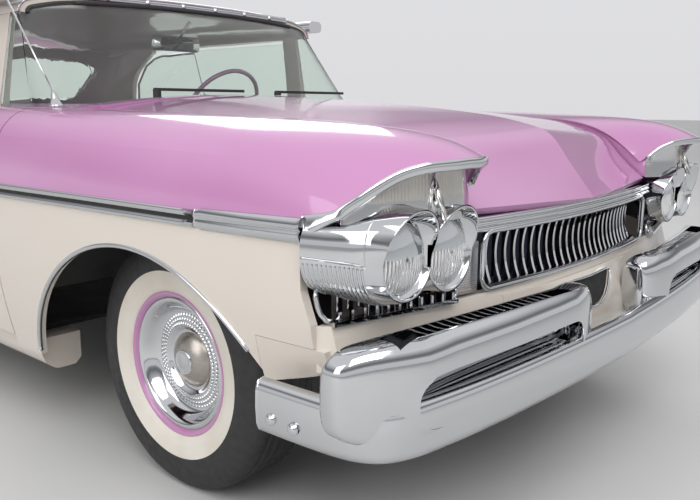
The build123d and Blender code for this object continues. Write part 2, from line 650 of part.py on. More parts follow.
with BuildPart() as grille_whole:
    add(grille.part)
    add(side_grille.part)
    add(mirror(side_grille.part, about=Plane.XZ, mode=Mode.PRIVATE))
finish(grille_whole.part, "grille")

# Bumper bars: one crowned profile swept round the plan of each end, from the middle outward
BAR_DEPTH = 40
BAR_BOTTOM_Z, BAR_TOP_Z = 365, 480
FRONT_BAR_PLAN = [(FRONT_END_X, 0), (2640, 900), (2545, 1003), (2305, 1013)]
REAR_BAR_PLAN = [(REAR_END_X, 0), (-2655, 915), (-2530, BUMPER_END_Y - 4), (-2300, BUMPER_END_Y)]


def half_bar(plan, low_z, high_z):
    """The left half of a bumper bar whose face follows the plan."""
    face_x = plan[0][0]
    inward = -1 if face_x > 0 else 1
    back_x = face_x + inward * BAR_DEPTH
    lip_x = face_x + inward * BAR_DEPTH / 2
    with BuildPart() as half:
        with BuildLine() as path:
            for start, middle, end, *_ in tangent_arcs(plan, 90):
                ThreePointArc(start, middle, end)
        with BuildSketch(Plane.XZ):
            with BuildLine():
                Line((face_x, low_z + BAR_DEPTH), (face_x, high_z - BAR_DEPTH))
                TangentArc((face_x, high_z - BAR_DEPTH), (lip_x, high_z), tangent=(0, 1))
                TangentArc((face_x, low_z + BAR_DEPTH), (lip_x, low_z), tangent=(0, -1))
                Polyline([(lip_x, high_z), (back_x, high_z), (back_x, low_z), (lip_x, low_z)])
            make_face()
        sweep(path=path.wires()[0])
    return half.part


# Front bumper: the bar, and at each side a hollow pod over it
# Each pod in slices across the car: its depth, its height and its corner radius
PodSlice = namedtuple("PodSlice", "y rear_x front_x low_z high_z corner")
POD_SLICES = [
    PodSlice(192, 2642, 2694, 440, 560, 24),
    PodSlice(290, 2604, 2693, 398, 594, 40),
    PodSlice(600, 2560, 2677, 392, 600, 48),
    PodSlice(880, 2520, 2648, 392, 600, 52),
    PodSlice(1018, 2496, 2570, 405, 580, 34),
]
SLOT_LOW_Z, SLOT_HIGH_Z, SLOT_IN_Y, SLOT_OUT_Y = 417, 531, 300, 900
SLOT_BACK = [(2598, 900), (2638, 300)]
TROUGH = [(2632, 340), (2664, 340), (2606, 905), (2546, 905)]
TROUGH_FLOOR_Z = 556
TEETH, TEETH_IN_Y, TEETH_OUT_Y = 18, 366, 820
with BuildPart() as pod_slot:
    with BuildSketch(Plane.YZ.offset(2500)):
        with Locations(((SLOT_IN_Y + SLOT_OUT_Y) / 2, (SLOT_LOW_Z + SLOT_HIGH_Z) / 2)):
            RectangleRounded(SLOT_OUT_Y - SLOT_IN_Y, SLOT_HIGH_Z - SLOT_LOW_Z, 48)
    extrude(amount=300)
    with BuildSketch(Plane.XY.offset(SLOT_LOW_Z)):
        with BuildLine():
            Polyline(SLOT_BACK + [(2750, 300), (2750, 900)], close=True)
        make_face()
    extrude(amount=SLOT_HIGH_Z - SLOT_LOW_Z, mode=Mode.INTERSECT)
with BuildPart() as pod:
    for c in POD_SLICES:
        with BuildSketch(Plane.XZ.offset(-c.y)):
            with Locations(((c.rear_x + c.front_x) / 2, (c.low_z + c.high_z) / 2)):
                RectangleRounded(c.front_x - c.rear_x, c.high_z - c.low_z, c.corner)
    loft()
    add(half_bar(FRONT_BAR_PLAN, BAR_BOTTOM_Z, BAR_TOP_Z))
    add(pod_slot.part, mode=Mode.SUBTRACT)
    with BuildSketch(Plane.XY.offset(TROUGH_FLOOR_Z)):
        with BuildLine():
            Polyline(TROUGH, close=True)
        make_face()
    extrude(amount=60, mode=Mode.SUBTRACT)
    for i in range(TEETH):
        y = TEETH_IN_Y + (i + 0.5) * (TEETH_OUT_Y - TEETH_IN_Y) / TEETH
        share = (y - TROUGH[0][1]) / (TROUGH[2][1] - TROUGH[0][1])
        rear_x = TROUGH[0][0] + share * (TROUGH[3][0] - TROUGH[0][0]) - 2
        front_x = TROUGH[1][0] + share * (TROUGH[2][0] - TROUGH[1][0]) + 2
        with BuildSketch(Plane.XY.offset(TROUGH_FLOOR_Z - 2)):
            with Locations(((rear_x + front_x) / 2, y)):
                Rectangle(front_x - rear_x, 5)
        extrude(amount=30)
    with BuildSketch(Plane.XY.offset(455)):
        with BuildLine():
            (back_out_x, back_out_y), (back_in_x, back_in_y) = SLOT_BACK
            Polyline([(back_out_x - 5, back_out_y), (back_out_x + 20, back_out_y - 20),
                      (back_in_x + 20, back_in_y + 20), (back_in_x - 5, back_in_y)], close=True)
        make_face()
    extrude(amount=14)
    with BuildSketch(Plane.XY.offset(400)):
        with Locations((2557, (RAIL_IN_Y + RAIL_OUT_Y) / 2)):
            Rectangle(154 - 2 * SEAT_GAP, RAIL_OUT_Y - RAIL_IN_Y)
    extrude(amount=60)
with BuildPart() as front_bumper:
    add(pod.part)
    mirror(about=Plane.XZ)
finish(front_bumper.part, "front_bumper")

# Rear bumper: the bar and its two arms
with BuildPart() as rear_bumper:
    add(half_bar(REAR_BAR_PLAN, REAR_BAR_BOTTOM_Z, REAR_BAR_TOP_Z))
    with BuildSketch(Plane.XY.offset(400)):
        with Locations((-2584, (RAIL_IN_Y + RAIL_OUT_Y) / 2)):
            Rectangle(168 - 2 * SEAT_GAP, RAIL_OUT_Y - RAIL_IN_Y)
    extrude(amount=60)
    mirror(about=Plane.XZ)
finish(rear_bumper.part, "rear_bumper")

# Lamp pods: the bright housings under the brows, each with two lamps in coned rims
OUTER_LAMP, INNER_LAMP = (822, 729), (673, 724)
LAMP_RADIUS = 73
POD_REAR_X, POD_FRONT_X = 2391 + SEAT_GAP, 2530
LAMP_SEAT_X = POD_FRONT_X - 60
RIM_TIP_X, RIM_TIP_RADIUS, RIM_FOOT_RADIUS = 2545, 86, 97
PodRib = namedtuple("PodRib", "x side_y foot_z top_z")
with BuildPart() as lamp_pod:
    for r in (PodRib(POD_REAR_X, 964, 652, 812), PodRib(2500, 922, 636, 822)):
        with BuildSketch(Plane.YZ.offset(r.x)):
            with BuildLine():
                Polyline([(r.side_y - 4, r.top_z), (580, r.top_z), (580, r.foot_z), (r.side_y - 110, r.foot_z)])
                ThreePointArc((r.side_y - 110, r.foot_z), (r.side_y - 32, r.foot_z + 34),
                              (r.side_y, r.foot_z + 112))
                Line((r.side_y, r.foot_z + 112), (r.side_y - 4, r.top_z))
            make_face()
    loft()
    for y, z in (OUTER_LAMP, INNER_LAMP):
        with BuildPart(mode=Mode.PRIVATE) as rim:
            for x, radius in ((LAMP_SEAT_X, RIM_FOOT_RADIUS), (RIM_TIP_X, RIM_TIP_RADIUS)):
                with BuildSketch(Plane.YZ.offset(x)):
                    with Locations((y, z)):
                        Circle(radius)
            loft()
        add(rim.part)
    with BuildSketch(Plane.YZ.offset(LAMP_SEAT_X - SEAT_GAP)):
        with Locations(OUTER_LAMP, INNER_LAMP):
            Circle(LAMP_RADIUS + SEAT_GAP)
    extrude(amount=120, mode=Mode.SUBTRACT)

# Inside the brow, set back from its edge: the housing of the turn signal
with BuildPart() as brow_lining:
    add(under_skin)
    with BuildSketch(Plane.XZ):
        with BuildLine():
            Polyline([(2400, 815), (2400, 1000), (2500, 1000), (2530, 880), (2496, 815)], close=True)
        make_face()
    extrude(amount=-1100, mode=Mode.INTERSECT)
    with BuildSketch(Plane.XY.offset(780)):
        with Locations((2500, 300)):
            Rectangle(400, 2 * 285)
    extrude(amount=300, mode=Mode.SUBTRACT)
with BuildPart() as lamp_pod_whole:
    add(lamp_pod.part)
    add(brow_lining.part)
finish_pair(lamp_pod_whole.part, "lamp_pod")

# Headlamps: four sealed lamps with domed lenses
LENS_RIM_X, LENS_TOP_X = 2511, 2531
with BuildPart() as lamp_form:
    with BuildSketch(Plane.XZ):
        with BuildLine():
            Polyline([(LENS_TOP_X, 0), (LAMP_SEAT_X, 0), (LAMP_SEAT_X, LAMP_RADIUS),
                      (LENS_RIM_X, LAMP_RADIUS)])
            TangentArc((LENS_TOP_X, 0), (LENS_RIM_X, LAMP_RADIUS), tangent=(0, 1))
        make_face()
    revolve(axis=Axis.X)
with BuildPart() as headlamps:
    for y, z in (OUTER_LAMP, INNER_LAMP):
        for side in (1, -1):
            add(lamp_form.part.moved(Location((0, side * y, z))))
finish(headlamps.part, "headlamps")

# Tail lamps on the ends of the quarter panels
with BuildPart() as tail_lamps:
    with BuildSketch(Plane.YZ.offset(TAIL_CAP_X - 24)):
        for side in (1, -1):
            with Locations((side * 880, 700)):
                RectangleRounded(90, 240, 30)
    extrude(amount=24 - SEAT_GAP)
finish(tail_lamps.part, "tail_lamps")

# Dashboard inside the foot of the screen
WHEEL_Y = 370
screen_slot = screen_fill(-GLASS - 3, SCREEN_FOOT_Z - 60, SCREEN_TOP_Z, 600)
with BuildPart() as dashboard:
    add(screen_slot)
    split(bisect_by=Plane.XY.offset(SCREEN_FOOT_Z + SEAT_GAP), keep=Keep.TOP)
    split(bisect_by=Plane.XY.offset(1026), keep=Keep.BOTTOM)
    split(bisect_by=Plane.YZ.offset(790), keep=Keep.TOP)
    with BuildSketch(Plane.XZ):
        with BuildLine():
            Polyline([(790, 1010), (790, 900), (830, 800), (950, 800), (950, 1010)], close=True)
        make_face()
    extrude(amount=DASH_HALF_WIDTH, both=True)

# Steering column from the floor to the wheel
COLUMN_TOP = Vector(560, WHEEL_Y, 1010)
COLUMN_FOOT = Vector(1120, WHEEL_Y, 660)
COLUMN_RADIUS = 28
column_way = (COLUMN_FOOT - COLUMN_TOP).normalized()
column_plane = Plane(COLUMN_TOP, x_dir=(0, 1, 0), z_dir=column_way)
COLUMN_LENGTH = (COLUMN_FOOT - COLUMN_TOP).length
with BuildPart() as steering_column:
    with BuildSketch(column_plane.offset(70)):
        Circle(COLUMN_RADIUS)
    extrude(amount=COLUMN_LENGTH - 70)
with BuildPart() as dashboard_whole:
    add(dashboard.part)
    with BuildSketch(column_plane.offset(70)):
        Circle(COLUMN_RADIUS + 1)
    extrude(amount=COLUMN_LENGTH, mode=Mode.SUBTRACT)
finish(dashboard_whole.part, "dashboard")
finish(steering_column.part, "steering_column")

RIM_SIZE = 205
with BuildPart() as steering_wheel:
    with BuildSketch(column_plane.offset(10)):
        Circle(40)
    extrude(amount=50)
    rim_start = COLUMN_TOP + Vector(0, RIM_SIZE, 0)
    with BuildSketch(Plane(rim_start, x_dir=(0, 1, 0), z_dir=column_way.cross(Vector(0, 1, 0)))):
        Circle(12)
    revolve(axis=Axis(COLUMN_TOP, column_way))
    with BuildSketch(column_plane.offset(16)):
        Rectangle(2 * RIM_SIZE - 6, 24)
        with Locations((0, -RIM_SIZE / 2)):
            Rectangle(24, RIM_SIZE - 6)
    extrude(amount=-16)
finish(steering_wheel.part, "steering_wheel")

# Seats: bench cushions and backs
REAR_TUNNEL_HALF, REAR_TUNNEL_TOP_Z = 100, 455
with BuildPart() as front_seat:
    for outline in ([(-180, 430), (330, 470), (330, 640), (-180, 600)],
                    [(-330, 440), (-181, 440), (-181, 602), (-90, 602), (-190, 1010), (-300, 1010)]):
        with BuildSketch(Plane.XZ):
            with BuildLine():
                Polyline(outline, close=True)
            make_face()
        extrude(amount=690, both=True)
    with BuildSketch(Plane.XY.offset(FLOOR_Z + FLOOR_WALL)):
        for x in (-100, 260):
            for side in (1, -1):
                with Locations((x, side * 500)):
                    Rectangle(50, 60)
    extrude(amount=130)
    with BuildSketch(Plane.YZ.offset(-340)):
        Rectangle(2 * (REAR_TUNNEL_HALF + 6), 2 * (REAR_TUNNEL_TOP_Z + 6))
    extrude(amount=700, mode=Mode.SUBTRACT)
finish(front_seat.part, "front_seat")
with BuildPart() as rear_seat:
    with BuildSketch(Plane.XZ):
        with BuildLine():
            Polyline([(-905, 530), (-800, 469 + SEAT_GAP), (-430, 469 + SEAT_GAP), (-400, 600), (-850, 610),
                      (-960, 980), (-1050, 980)], close=True)
        make_face()
    extrude(amount=594, both=True)
finish(rear_seat.part, "rear_seat")

# Floor: a bent sheet with the tunnel over the driveline, from the dash wall to the boot
DASH_WALL_X = 1160
HEEL_X, SEAT_PAN_Z, BOOT_FLOOR_Z = -450, 455, 534
BOOT_REAR_X = -2572.6
TUNNEL_HALF, TUNNEL_TOP_Z, TUNNEL_STEP_X = 160, 545, 780
with BuildPart() as floor_pan:
    with BuildSketch(Plane.XZ):
        with BuildLine():
            Polyline([(HEEL_X, FLOOR_Z), (DASH_WALL_X, FLOOR_Z), (DASH_WALL_X, COWL_FLOOR_Z),
                      (DASH_WALL_X - FLOOR_WALL, COWL_FLOOR_Z), (DASH_WALL_X - FLOOR_WALL, FLOOR_Z + FLOOR_WALL),
                      (HEEL_X + FLOOR_WALL, FLOOR_Z + FLOOR_WALL), (HEEL_X + FLOOR_WALL, SEAT_PAN_Z + FLOOR_WALL),
                      (-800, SEAT_PAN_Z + FLOOR_WALL), (-966, BOOT_FLOOR_Z + FLOOR_WALL),
                      (BOOT_REAR_X, BOOT_FLOOR_Z + FLOOR_WALL), (BOOT_REAR_X, BOOT_FLOOR_Z), (-966, BOOT_FLOOR_Z),
                      (-800, SEAT_PAN_Z), (HEEL_X, SEAT_PAN_Z)], close=True)
        make_face()
    extrude(amount=599, both=True)
    with BuildSketch(Plane.XY.offset(FLOOR_Z)):
        for side in (1, -1):
            with Locations(((DASH_WALL_X + TRIM_REAR_X) / 2, side * 736)):
                Rectangle(DASH_WALL_X - TRIM_REAR_X, 276)
    extrude(amount=FLOOR_WALL)
    for wall, mode in ((0, Mode.ADD), (FLOOR_WALL, Mode.SUBTRACT)):
        with BuildSketch(Plane.YZ.offset(HEEL_X)):
            Rectangle(2 * (REAR_TUNNEL_HALF - wall), 2 * (REAR_TUNNEL_TOP_Z - wall))
        extrude(amount=TUNNEL_STEP_X - HEEL_X, mode=mode)
    for wall, mode in ((0, Mode.ADD), (FLOOR_WALL, Mode.SUBTRACT)):
        with BuildSketch(Plane.YZ.offset(TUNNEL_STEP_X - wall)):
            Rectangle(2 * (TUNNEL_HALF - wall), 2 * (TUNNEL_TOP_Z - wall))
        extrude(amount=DASH_WALL_X - TUNNEL_STEP_X + wall, mode=mode)
    split(bisect_by=Plane.XY.offset(FLOOR_Z), keep=Keep.TOP)
finish(floor_pan.part, "floor_pan")

# Wheelhouses: the arched inner panels over the four wheels
REAR_HOUSE_R = 590
with BuildPart() as wheelhouses:
    with BuildSketch(Plane.XZ.offset(-448)):
        with Locations((FRONT_ARCH_X, FRONT_ARCH_Z)):
            Circle(652)
            Circle(640, mode=Mode.SUBTRACT)
    extrude(amount=-462)
    with BuildSketch(Plane.XZ.offset(-RAIL_OUT_Y - 1)):
        with Locations((FRONT_ARCH_X, FRONT_ARCH_Z)):
            Circle(652)
    extrude(amount=-12)
    with BuildSketch(Plane.XZ.offset(-RAIL_OUT_Y + 20)):
        with Locations((FRONT_ARCH_X, -516)):
            Rectangle(2000, 2 * (RAIL_TOP_Z + SEAT_GAP + 516))
        with Locations((FRONT_ARCH_X + 1000 + 560, 0), (FRONT_ARCH_X - 1000 - 560, 0)):
            Rectangle(2000, 4000)
    extrude(amount=-600, mode=Mode.SUBTRACT)
    with BuildSketch(Plane.XZ.offset(-612)):
        with Locations((REAR_AXLE_X, REAR_ARCH_Z)):
            Circle(REAR_HOUSE_R)
            Circle(REAR_HOUSE_R - 12, mode=Mode.SUBTRACT)
    extrude(amount=-320)
    with BuildSketch(Plane.XZ.offset(-600)):
        with Locations((REAR_AXLE_X, REAR_ARCH_Z)):
            Circle(REAR_HOUSE_R)
        with Locations((REAR_AXLE_X, 250)):
            Rectangle(340, 500, mode=Mode.SUBTRACT)
    extrude(amount=-12)
    with BuildSketch(Plane.XZ.offset(-590)):
        with Locations((REAR_AXLE_X, FLOOR_Z - 500)):
            Rectangle(2 * REAR_HOUSE_R, 1000)
    extrude(amount=-400, mode=Mode.SUBTRACT)
    mirror(about=Plane.XZ)
finish(wheelhouses.part, "wheelhouses")

# Chassis: two stepped side rails, cross members and spring hangers
RAIL_SIDE = [(-2500, 400), (-1950, 400), (-1650, 430), (-1000, 430), (-700, FLOOR_Z - 110), (1200, FLOOR_Z - 110),
             (1440, 380), (2480, 380), (2480, 480), (1400, 480), (DASH_WALL_X + 10, FLOOR_Z), (-760, FLOOR_Z),
             (-1040, BOOT_FLOOR_Z), (-1640, BOOT_FLOOR_Z), (-1940, 500), (-2500, 500)]
with BuildPart() as chassis_frame:
    with BuildSketch(Plane.XZ.offset(-RAIL_IN_Y)):
        with BuildLine():
            Polyline(RAIL_SIDE, close=True)
        make_face()
    extrude(amount=RAIL_IN_Y - RAIL_OUT_Y)
    mirror(about=Plane.XZ)
    for x, z in ((2240, 380), (500, 240), (-600, 240), (-1800, 440), (-2440, 400)):
        with BuildSketch(Plane.XY.offset(z)):
            with Locations((x, 0)):
                Rectangle(90, 2 * RAIL_IN_Y + 2)
        extrude(amount=60)
    with BuildSketch(Plane.XY.offset(250)):
        with Locations((FRONT_AXLE_X, 0)):
            Rectangle(160, 2 * RAIL_OUT_Y)
    extrude(amount=140)
    with BuildSketch(Plane.XY.offset(330)):
        with Locations((FRONT_AXLE_X, 0)):
            Rectangle(200, 2 * RAIL_IN_Y)
    extrude(amount=100, mode=Mode.SUBTRACT)
    with BuildSketch(Plane.XZ.offset(-RAIL_OUT_Y + 1)):
        with Locations((-690, 290), (-1960, 400)):
            Rectangle(60, 90)
    extrude(amount=-130)
    with BuildSketch(Plane.XZ.offset(RAIL_OUT_Y - 1)):
        with Locations((-690, 290), (-1960, 400)):
            Rectangle(60, 90)
    extrude(amount=130)
finish(chassis_frame.part, "chassis_frame")

# Engine: one plain block with its sump, heads and air cleaner, and the radiator ahead of it
with BuildPart() as engine:
    with BuildSketch(Plane.YZ.offset(1320)):
        with BuildLine():
            Polyline([(-150, 432), (150, 432), (230, 560), (330, 700), (200, 800), (-200, 800), (-330, 700),
                      (-230, 560)], close=True)
        make_face()
    extrude(amount=700)
    with BuildSketch(Plane.XY.offset(800)):
        with Locations((1650, 0)):
            Circle(170)
    extrude(amount=110)
    with BuildSketch(Plane.XY.offset(440.3)):
        with Locations((2240, 0)):
            Rectangle(70, 640)
    extrude(amount=440)
finish(engine.part, "engine")

# Driveline: gearbox and propeller shaft
with BuildPart() as driveline:
    with BuildSketch(Plane.YZ.offset(1319)):
        with Locations((0, 420)):
            Circle(105)
    with BuildSketch(Plane.YZ.offset(840)):
        with Locations((0, 400)):
            Circle(70)
    loft()
    shaft_front, shaft_rear = Vector(842, 0, 400), Vector(REAR_AXLE_X + 141, 0, AXLE_Z + 20)
    with BuildSketch(Plane(shaft_front, z_dir=shaft_rear - shaft_front)):
        Circle(38)
    extrude(amount=(shaft_rear - shaft_front).length)
finish(driveline.part, "driveline")

# Exhaust: pipe, silencer and tail pipe under the cross members
PIPE_RADIUS = 26
with BuildPart() as exhaust:
    with BuildSketch(Plane.YZ.offset(-2560)):
        with Locations((260, 240 - SEAT_GAP - PIPE_RADIUS)):
            Circle(PIPE_RADIUS)
    extrude(amount=3800)
    with BuildSketch(Plane.YZ.offset(-500)):
        with Locations((260, 240 - SEAT_GAP - PIPE_RADIUS)):
            Ellipse(95, 52)
    extrude(amount=700)
finish(exhaust.part, "exhaust")

# Fuel tank between the rails behind the axle
with BuildPart() as fuel_tank:
    with BuildSketch(Plane.XY.offset(300)):
        with Locations((-2090, 0)):
            RectangleRounded(590, 700, 60)
    extrude(amount=140 - SEAT_GAP)
finish(fuel_tank.part, "fuel_tank")

# Rear axle: tube, differential, brake drums and leaf springs
SPRING_Y = 530
with BuildPart() as rear_axle:
    with BuildSketch(Plane.XZ):
        with Locations((REAR_AXLE_X, AXLE_Z)):
            Circle(38)
    extrude(amount=700, both=True)
    with BuildSketch(Plane.XZ):
        with Locations((REAR_AXLE_X, AXLE_Z)):
            Circle(140)
    extrude(amount=110, both=True)
    for side in (1, -1):
        with BuildSketch(Plane.XZ.offset(-side * SPRING_Y)):
            with BuildLine():
                ThreePointArc((-1960, 354.7), (REAR_AXLE_X - 20, 270), (-690, 244.7))
                Line((-690, 244.7), (-690, 222))
                ThreePointArc((-690, 222), (REAR_AXLE_X - 20, 235), (-1960, 332))
                Line((-1960, 332), (-1960, 354.7))
            make_face()
            with Locations((REAR_AXLE_X, 300)):
                Rectangle(70, 80)
        extrude(amount=30, both=True)
    for start, way in ((-640, -60), (640, 60)):
        with BuildSketch(Plane.XZ.offset(-start)):
            with Locations((REAR_AXLE_X, AXLE_Z)):
                Circle(140)
        extrude(amount=-way)
finish(rear_axle.part, "rear_axle")

# Front suspension: lower arms and coil springs, held by the cross member
KINGPIN_RADIUS = 25
with BuildPart() as front_suspension:
    for side in (1, -1):
        with BuildSketch(Plane.XY.offset(270)):
            with BuildLine():
                arm_end = KINGPIN_Y - KINGPIN_RADIUS - SEAT_GAP
                Polyline([(1730, side * (RAIL_OUT_Y + SEAT_GAP)), (1870, side * (RAIL_OUT_Y + SEAT_GAP)),
                          (1830, side * arm_end), (1770, side * arm_end)], close=True)
            make_face()
        extrude(amount=34)
        with BuildSketch(Plane.XY.offset(304)):
            with Locations((FRONT_AXLE_X, side * 520)):
                Circle(50)
        extrude(amount=300)
finish(front_suspension.part, "front_suspension")

# Steering knuckles: an upright on its kingpin, with the stub axle
SPINDLE_RADIUS = 22
with BuildPart() as knuckle:
    with BuildSketch(Plane.XY.offset(240)):
        with Locations((FRONT_AXLE_X, KINGPIN_Y)):
            Circle(KINGPIN_RADIUS)
    extrude(amount=220)
    with BuildSketch(Plane.XZ.offset(-KINGPIN_Y)):
        with Locations((FRONT_AXLE_X, AXLE_Z)):
            Circle(SPINDLE_RADIUS)
    extrude(amount=-110)
finish_pair(knuckle.part, "knuckle")

# Wheels: tyre, and rim with disc and cap, revolved round each hub
TYRE_PROFILE = [(76, RIM_RADIUS + SEAT_GAP), (95, 235), (102, 275), (96, 322), (80, 344), (0, TYRE_RADIUS)]
for end, axle_x in (("front", FRONT_AXLE_X), ("rear", REAR_AXLE_X)):
    hub_axis = Axis((axle_x, 0, AXLE_Z), (0, 1, 0))
    with BuildPart() as tyre:
        with BuildSketch(Plane.YZ.offset(axle_x)):
            with BuildLine():
                half = [(HALF_TRACK + y, AXLE_Z + r) for y, r in TYRE_PROFILE]
                other = [(HALF_TRACK - y, AXLE_Z + r) for y, r in reversed(TYRE_PROFILE[:-1])]
                Polyline(half + other, close=True)
            make_face()
        revolve(axis=hub_axis)
    finish_pair(tyre.part, f"tyre_{end}")
    with BuildPart() as wheel:
        with BuildSketch(Plane.YZ.offset(axle_x)):
            with BuildLine():
                r = AXLE_Z
                Polyline([(HALF_TRACK + 80, r + RIM_RADIUS), (HALF_TRACK + 62, r + 176), (HALF_TRACK + 50, r + 150),
                          (HALF_TRACK + 30, r + 90), (HALF_TRACK + 63, r + 40), (HALF_TRACK + 63, r),
                          (HALF_TRACK + 20, r), (HALF_TRACK + 14, r + 90), (HALF_TRACK + 40, r + 160),
                          (HALF_TRACK - 80, r + 172), (HALF_TRACK - 80, r + RIM_RADIUS)], close=True)
            make_face()
        revolve(axis=hub_axis)
        with BuildSketch(Plane.XZ.offset(-HALF_TRACK)):
            with Locations((axle_x, AXLE_Z)):
                Circle(SPINDLE_RADIUS + SEAT_GAP)
        extrude(amount=-46, mode=Mode.SUBTRACT)
    finish_pair(wheel.part, f"wheel_{end}")

# Wipers, parked on the cowl ahead of the screen
with BuildPart() as wipers:
    for y in (-420, 150):
        foot_z = 1065.9 - 60 * (y / COWL_HALF_WIDTH) ** 2 + SEAT_GAP
        with BuildSketch(Plane.XY.offset(foot_z)):
            with Locations((1168, y)):
                Circle(14)
        extrude(amount=1078 - foot_z)
        with BuildSketch(Plane.XY.offset(1072)):
            with Locations((1168, y + 190)):
                Rectangle(12, 400)
        extrude(amount=10)
finish(wipers.part, "wipers")

# Radio aerial on the right fender, raked back
AERIAL_FOOT = Vector(1190, -800, 1016.4)
with BuildPart() as antenna:
    with BuildSketch(Plane(AERIAL_FOOT, z_dir=(0, 0, 1))):
        Circle(22)
    extrude(amount=30)
    with BuildSketch(Plane(AERIAL_FOOT + Vector(0, 0, 20), z_dir=(-290, 0, 340))):
        Circle(4)
    extrude(amount=440)
finish(antenna.part, "antenna")

# Air ducts on the roof's front corners
with BuildPart() as air_ducts:
    for side in (1, -1):
        with BuildSketch(Plane.YZ.offset(640)):
            with Locations((side * 735.8, 1392)):
                RectangleRounded(84, 50, 20)
        extrude(amount=180)
finish(air_ducts.part, "air_ducts")
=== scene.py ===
"""Looks of a late-1950s two-door hardtop car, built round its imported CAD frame.

Lengths are in millimetres in the row's frame (X forward, Y to the car's left, Z up), and are
turned into metres where a mesh is made. A shape is a pair of points and faces. Pieces with a
left and a right twin are built at +Y and mirrored.
"""
from math import atan2, cos, hypot, pi, radians, sin, sqrt

import bpy
from mathutils import Matrix, Vector
from mathutils.bvhtree import BVHTree


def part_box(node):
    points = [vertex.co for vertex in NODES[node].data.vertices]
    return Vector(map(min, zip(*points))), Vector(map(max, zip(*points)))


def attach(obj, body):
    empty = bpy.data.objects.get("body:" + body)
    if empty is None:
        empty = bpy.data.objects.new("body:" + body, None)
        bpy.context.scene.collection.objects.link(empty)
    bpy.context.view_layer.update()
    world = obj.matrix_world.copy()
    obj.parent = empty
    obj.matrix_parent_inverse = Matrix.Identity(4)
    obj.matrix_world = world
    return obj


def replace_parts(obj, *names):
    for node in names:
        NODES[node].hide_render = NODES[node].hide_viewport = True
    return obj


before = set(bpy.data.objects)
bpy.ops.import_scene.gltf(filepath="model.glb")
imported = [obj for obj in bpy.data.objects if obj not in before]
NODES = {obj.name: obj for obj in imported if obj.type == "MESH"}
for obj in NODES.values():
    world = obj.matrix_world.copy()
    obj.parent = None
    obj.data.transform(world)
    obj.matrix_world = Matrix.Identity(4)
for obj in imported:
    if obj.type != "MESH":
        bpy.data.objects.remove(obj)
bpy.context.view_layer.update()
MM = 0.001
SIDES = (("left", 1), ("right", -1))


# Driving places, read from the frame

def box(name):
    """The low and high corners of a CAD node."""
    return [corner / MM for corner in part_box(name)]


TYRE_LOW, TYRE_HIGH = box("tyre_front_left")
AXLES = {end: sum(corner.x for corner in box(f"tyre_{end}_left")) / 2 for end in ("front", "rear")}
HUB_Z, TYRE_RADIUS = (TYRE_LOW.z + TYRE_HIGH.z) / 2, (TYRE_HIGH.z - TYRE_LOW.z) / 2
HALF_TRACK = (TYRE_LOW.y + TYRE_HIGH.y) / 2


# Materials


def set_values(node, **values):
    """Constant values on a node's own sockets, with _ for a space in a name."""
    for name, value in values.items():
        node.inputs[name.replace("_", " ")].default_value = value


def new_nodes(made, *kinds):
    """New shader nodes of the given kinds."""
    return [made.node_tree.nodes.new(f"ShaderNode{kind}") for kind in kinds]


def noise(made, scale, detail=2.0, stretch=(1, 1, 1)):
    """A noise texture in the piece's own coordinates, so that it moves with the piece."""
    links = made.node_tree.links
    place, mapping, texture = new_nodes(made, "TexCoord", "Mapping", "TexNoise")
    set_values(mapping, Scale=stretch)
    set_values(texture, Scale=scale, Detail=detail)
    links.new(place.outputs["Object"], mapping.inputs["Vector"])
    links.new(mapping.outputs["Vector"], texture.inputs["Vector"])
    return texture.outputs["Fac"]


def vary_colour(made, first, second, scale):
    """Blend two near colours by noise into the base colour."""
    nodes, links = made.node_tree.nodes, made.node_tree.links
    ramp = nodes.new("ShaderNodeValToRGB")
    for stop, position, colour in zip(ramp.color_ramp.elements, (0.35, 0.65), (first, second)):
        stop.position, stop.color = position, (*colour, 1)
    links.new(noise(made, scale, 3.0), ramp.inputs["Fac"])
    links.new(ramp.outputs["Color"], nodes["Principled BSDF"].inputs["Base Color"])


def vary_roughness(made, low, high, scale):
    """Roughness wanders between two values by noise."""
    nodes, links = made.node_tree.nodes, made.node_tree.links
    spread = nodes.new("ShaderNodeMapRange")
    set_values(spread, From_Min=0.3, From_Max=0.7, To_Min=low, To_Max=high)
    links.new(noise(made, scale, 4.0), spread.inputs["Value"])
    links.new(spread.outputs["Result"], nodes["Principled BSDF"].inputs["Roughness"])


def relief_from(made, height, strength, distance):
    """A fine relief from a texture's output."""
    nodes, links = made.node_tree.nodes, made.node_tree.links
    bump = nodes.new("ShaderNodeBump")
    set_values(bump, Strength=strength, Distance=distance)
    links.new(height, bump.inputs["Height"])
    links.new(bump.outputs["Normal"], nodes["Principled BSDF"].inputs["Normal"])


def ridges(made, scale, direction):
    """A texture of even ridges across one direction."""
    nodes, links = made.node_tree.nodes, made.node_tree.links
    place, wave = nodes.new("ShaderNodeTexCoord"), nodes.new("ShaderNodeTexWave")
    wave.bands_direction = direction
    set_values(wave, Scale=scale)
    links.new(place.outputs["Object"], wave.inputs["Vector"])
    return wave.outputs["Fac"]


def material(name, slot, colour, roughness, metallic=0.0, tones=None, wander=None, grain=None, flutes=None,
             **sockets):
    """A Principled material.

    tones is (colour, colour, scale), wander is roughness's (low, high, scale), grain is
    (scale, strength, distance, detail, stretch) and flutes is (scale, strength, direction, distance).
    """
    made = bpy.data.materials.new(name)
    made.use_nodes = True
    set_values(made.node_tree.nodes["Principled BSDF"], Base_Color=(*colour, 1), Roughness=roughness,
               Metallic=metallic, **sockets)
    if tones:
        vary_colour(made, *tones)
    if wander:
        vary_roughness(made, *wander)
    if grain:
        scale, strength, distance, *texture = grain
        relief_from(made, noise(made, scale, *texture), strength, distance)
    if flutes:
        scale, strength, direction, distance = flutes
        relief_from(made, ridges(made, scale, direction), strength, distance)
    return made


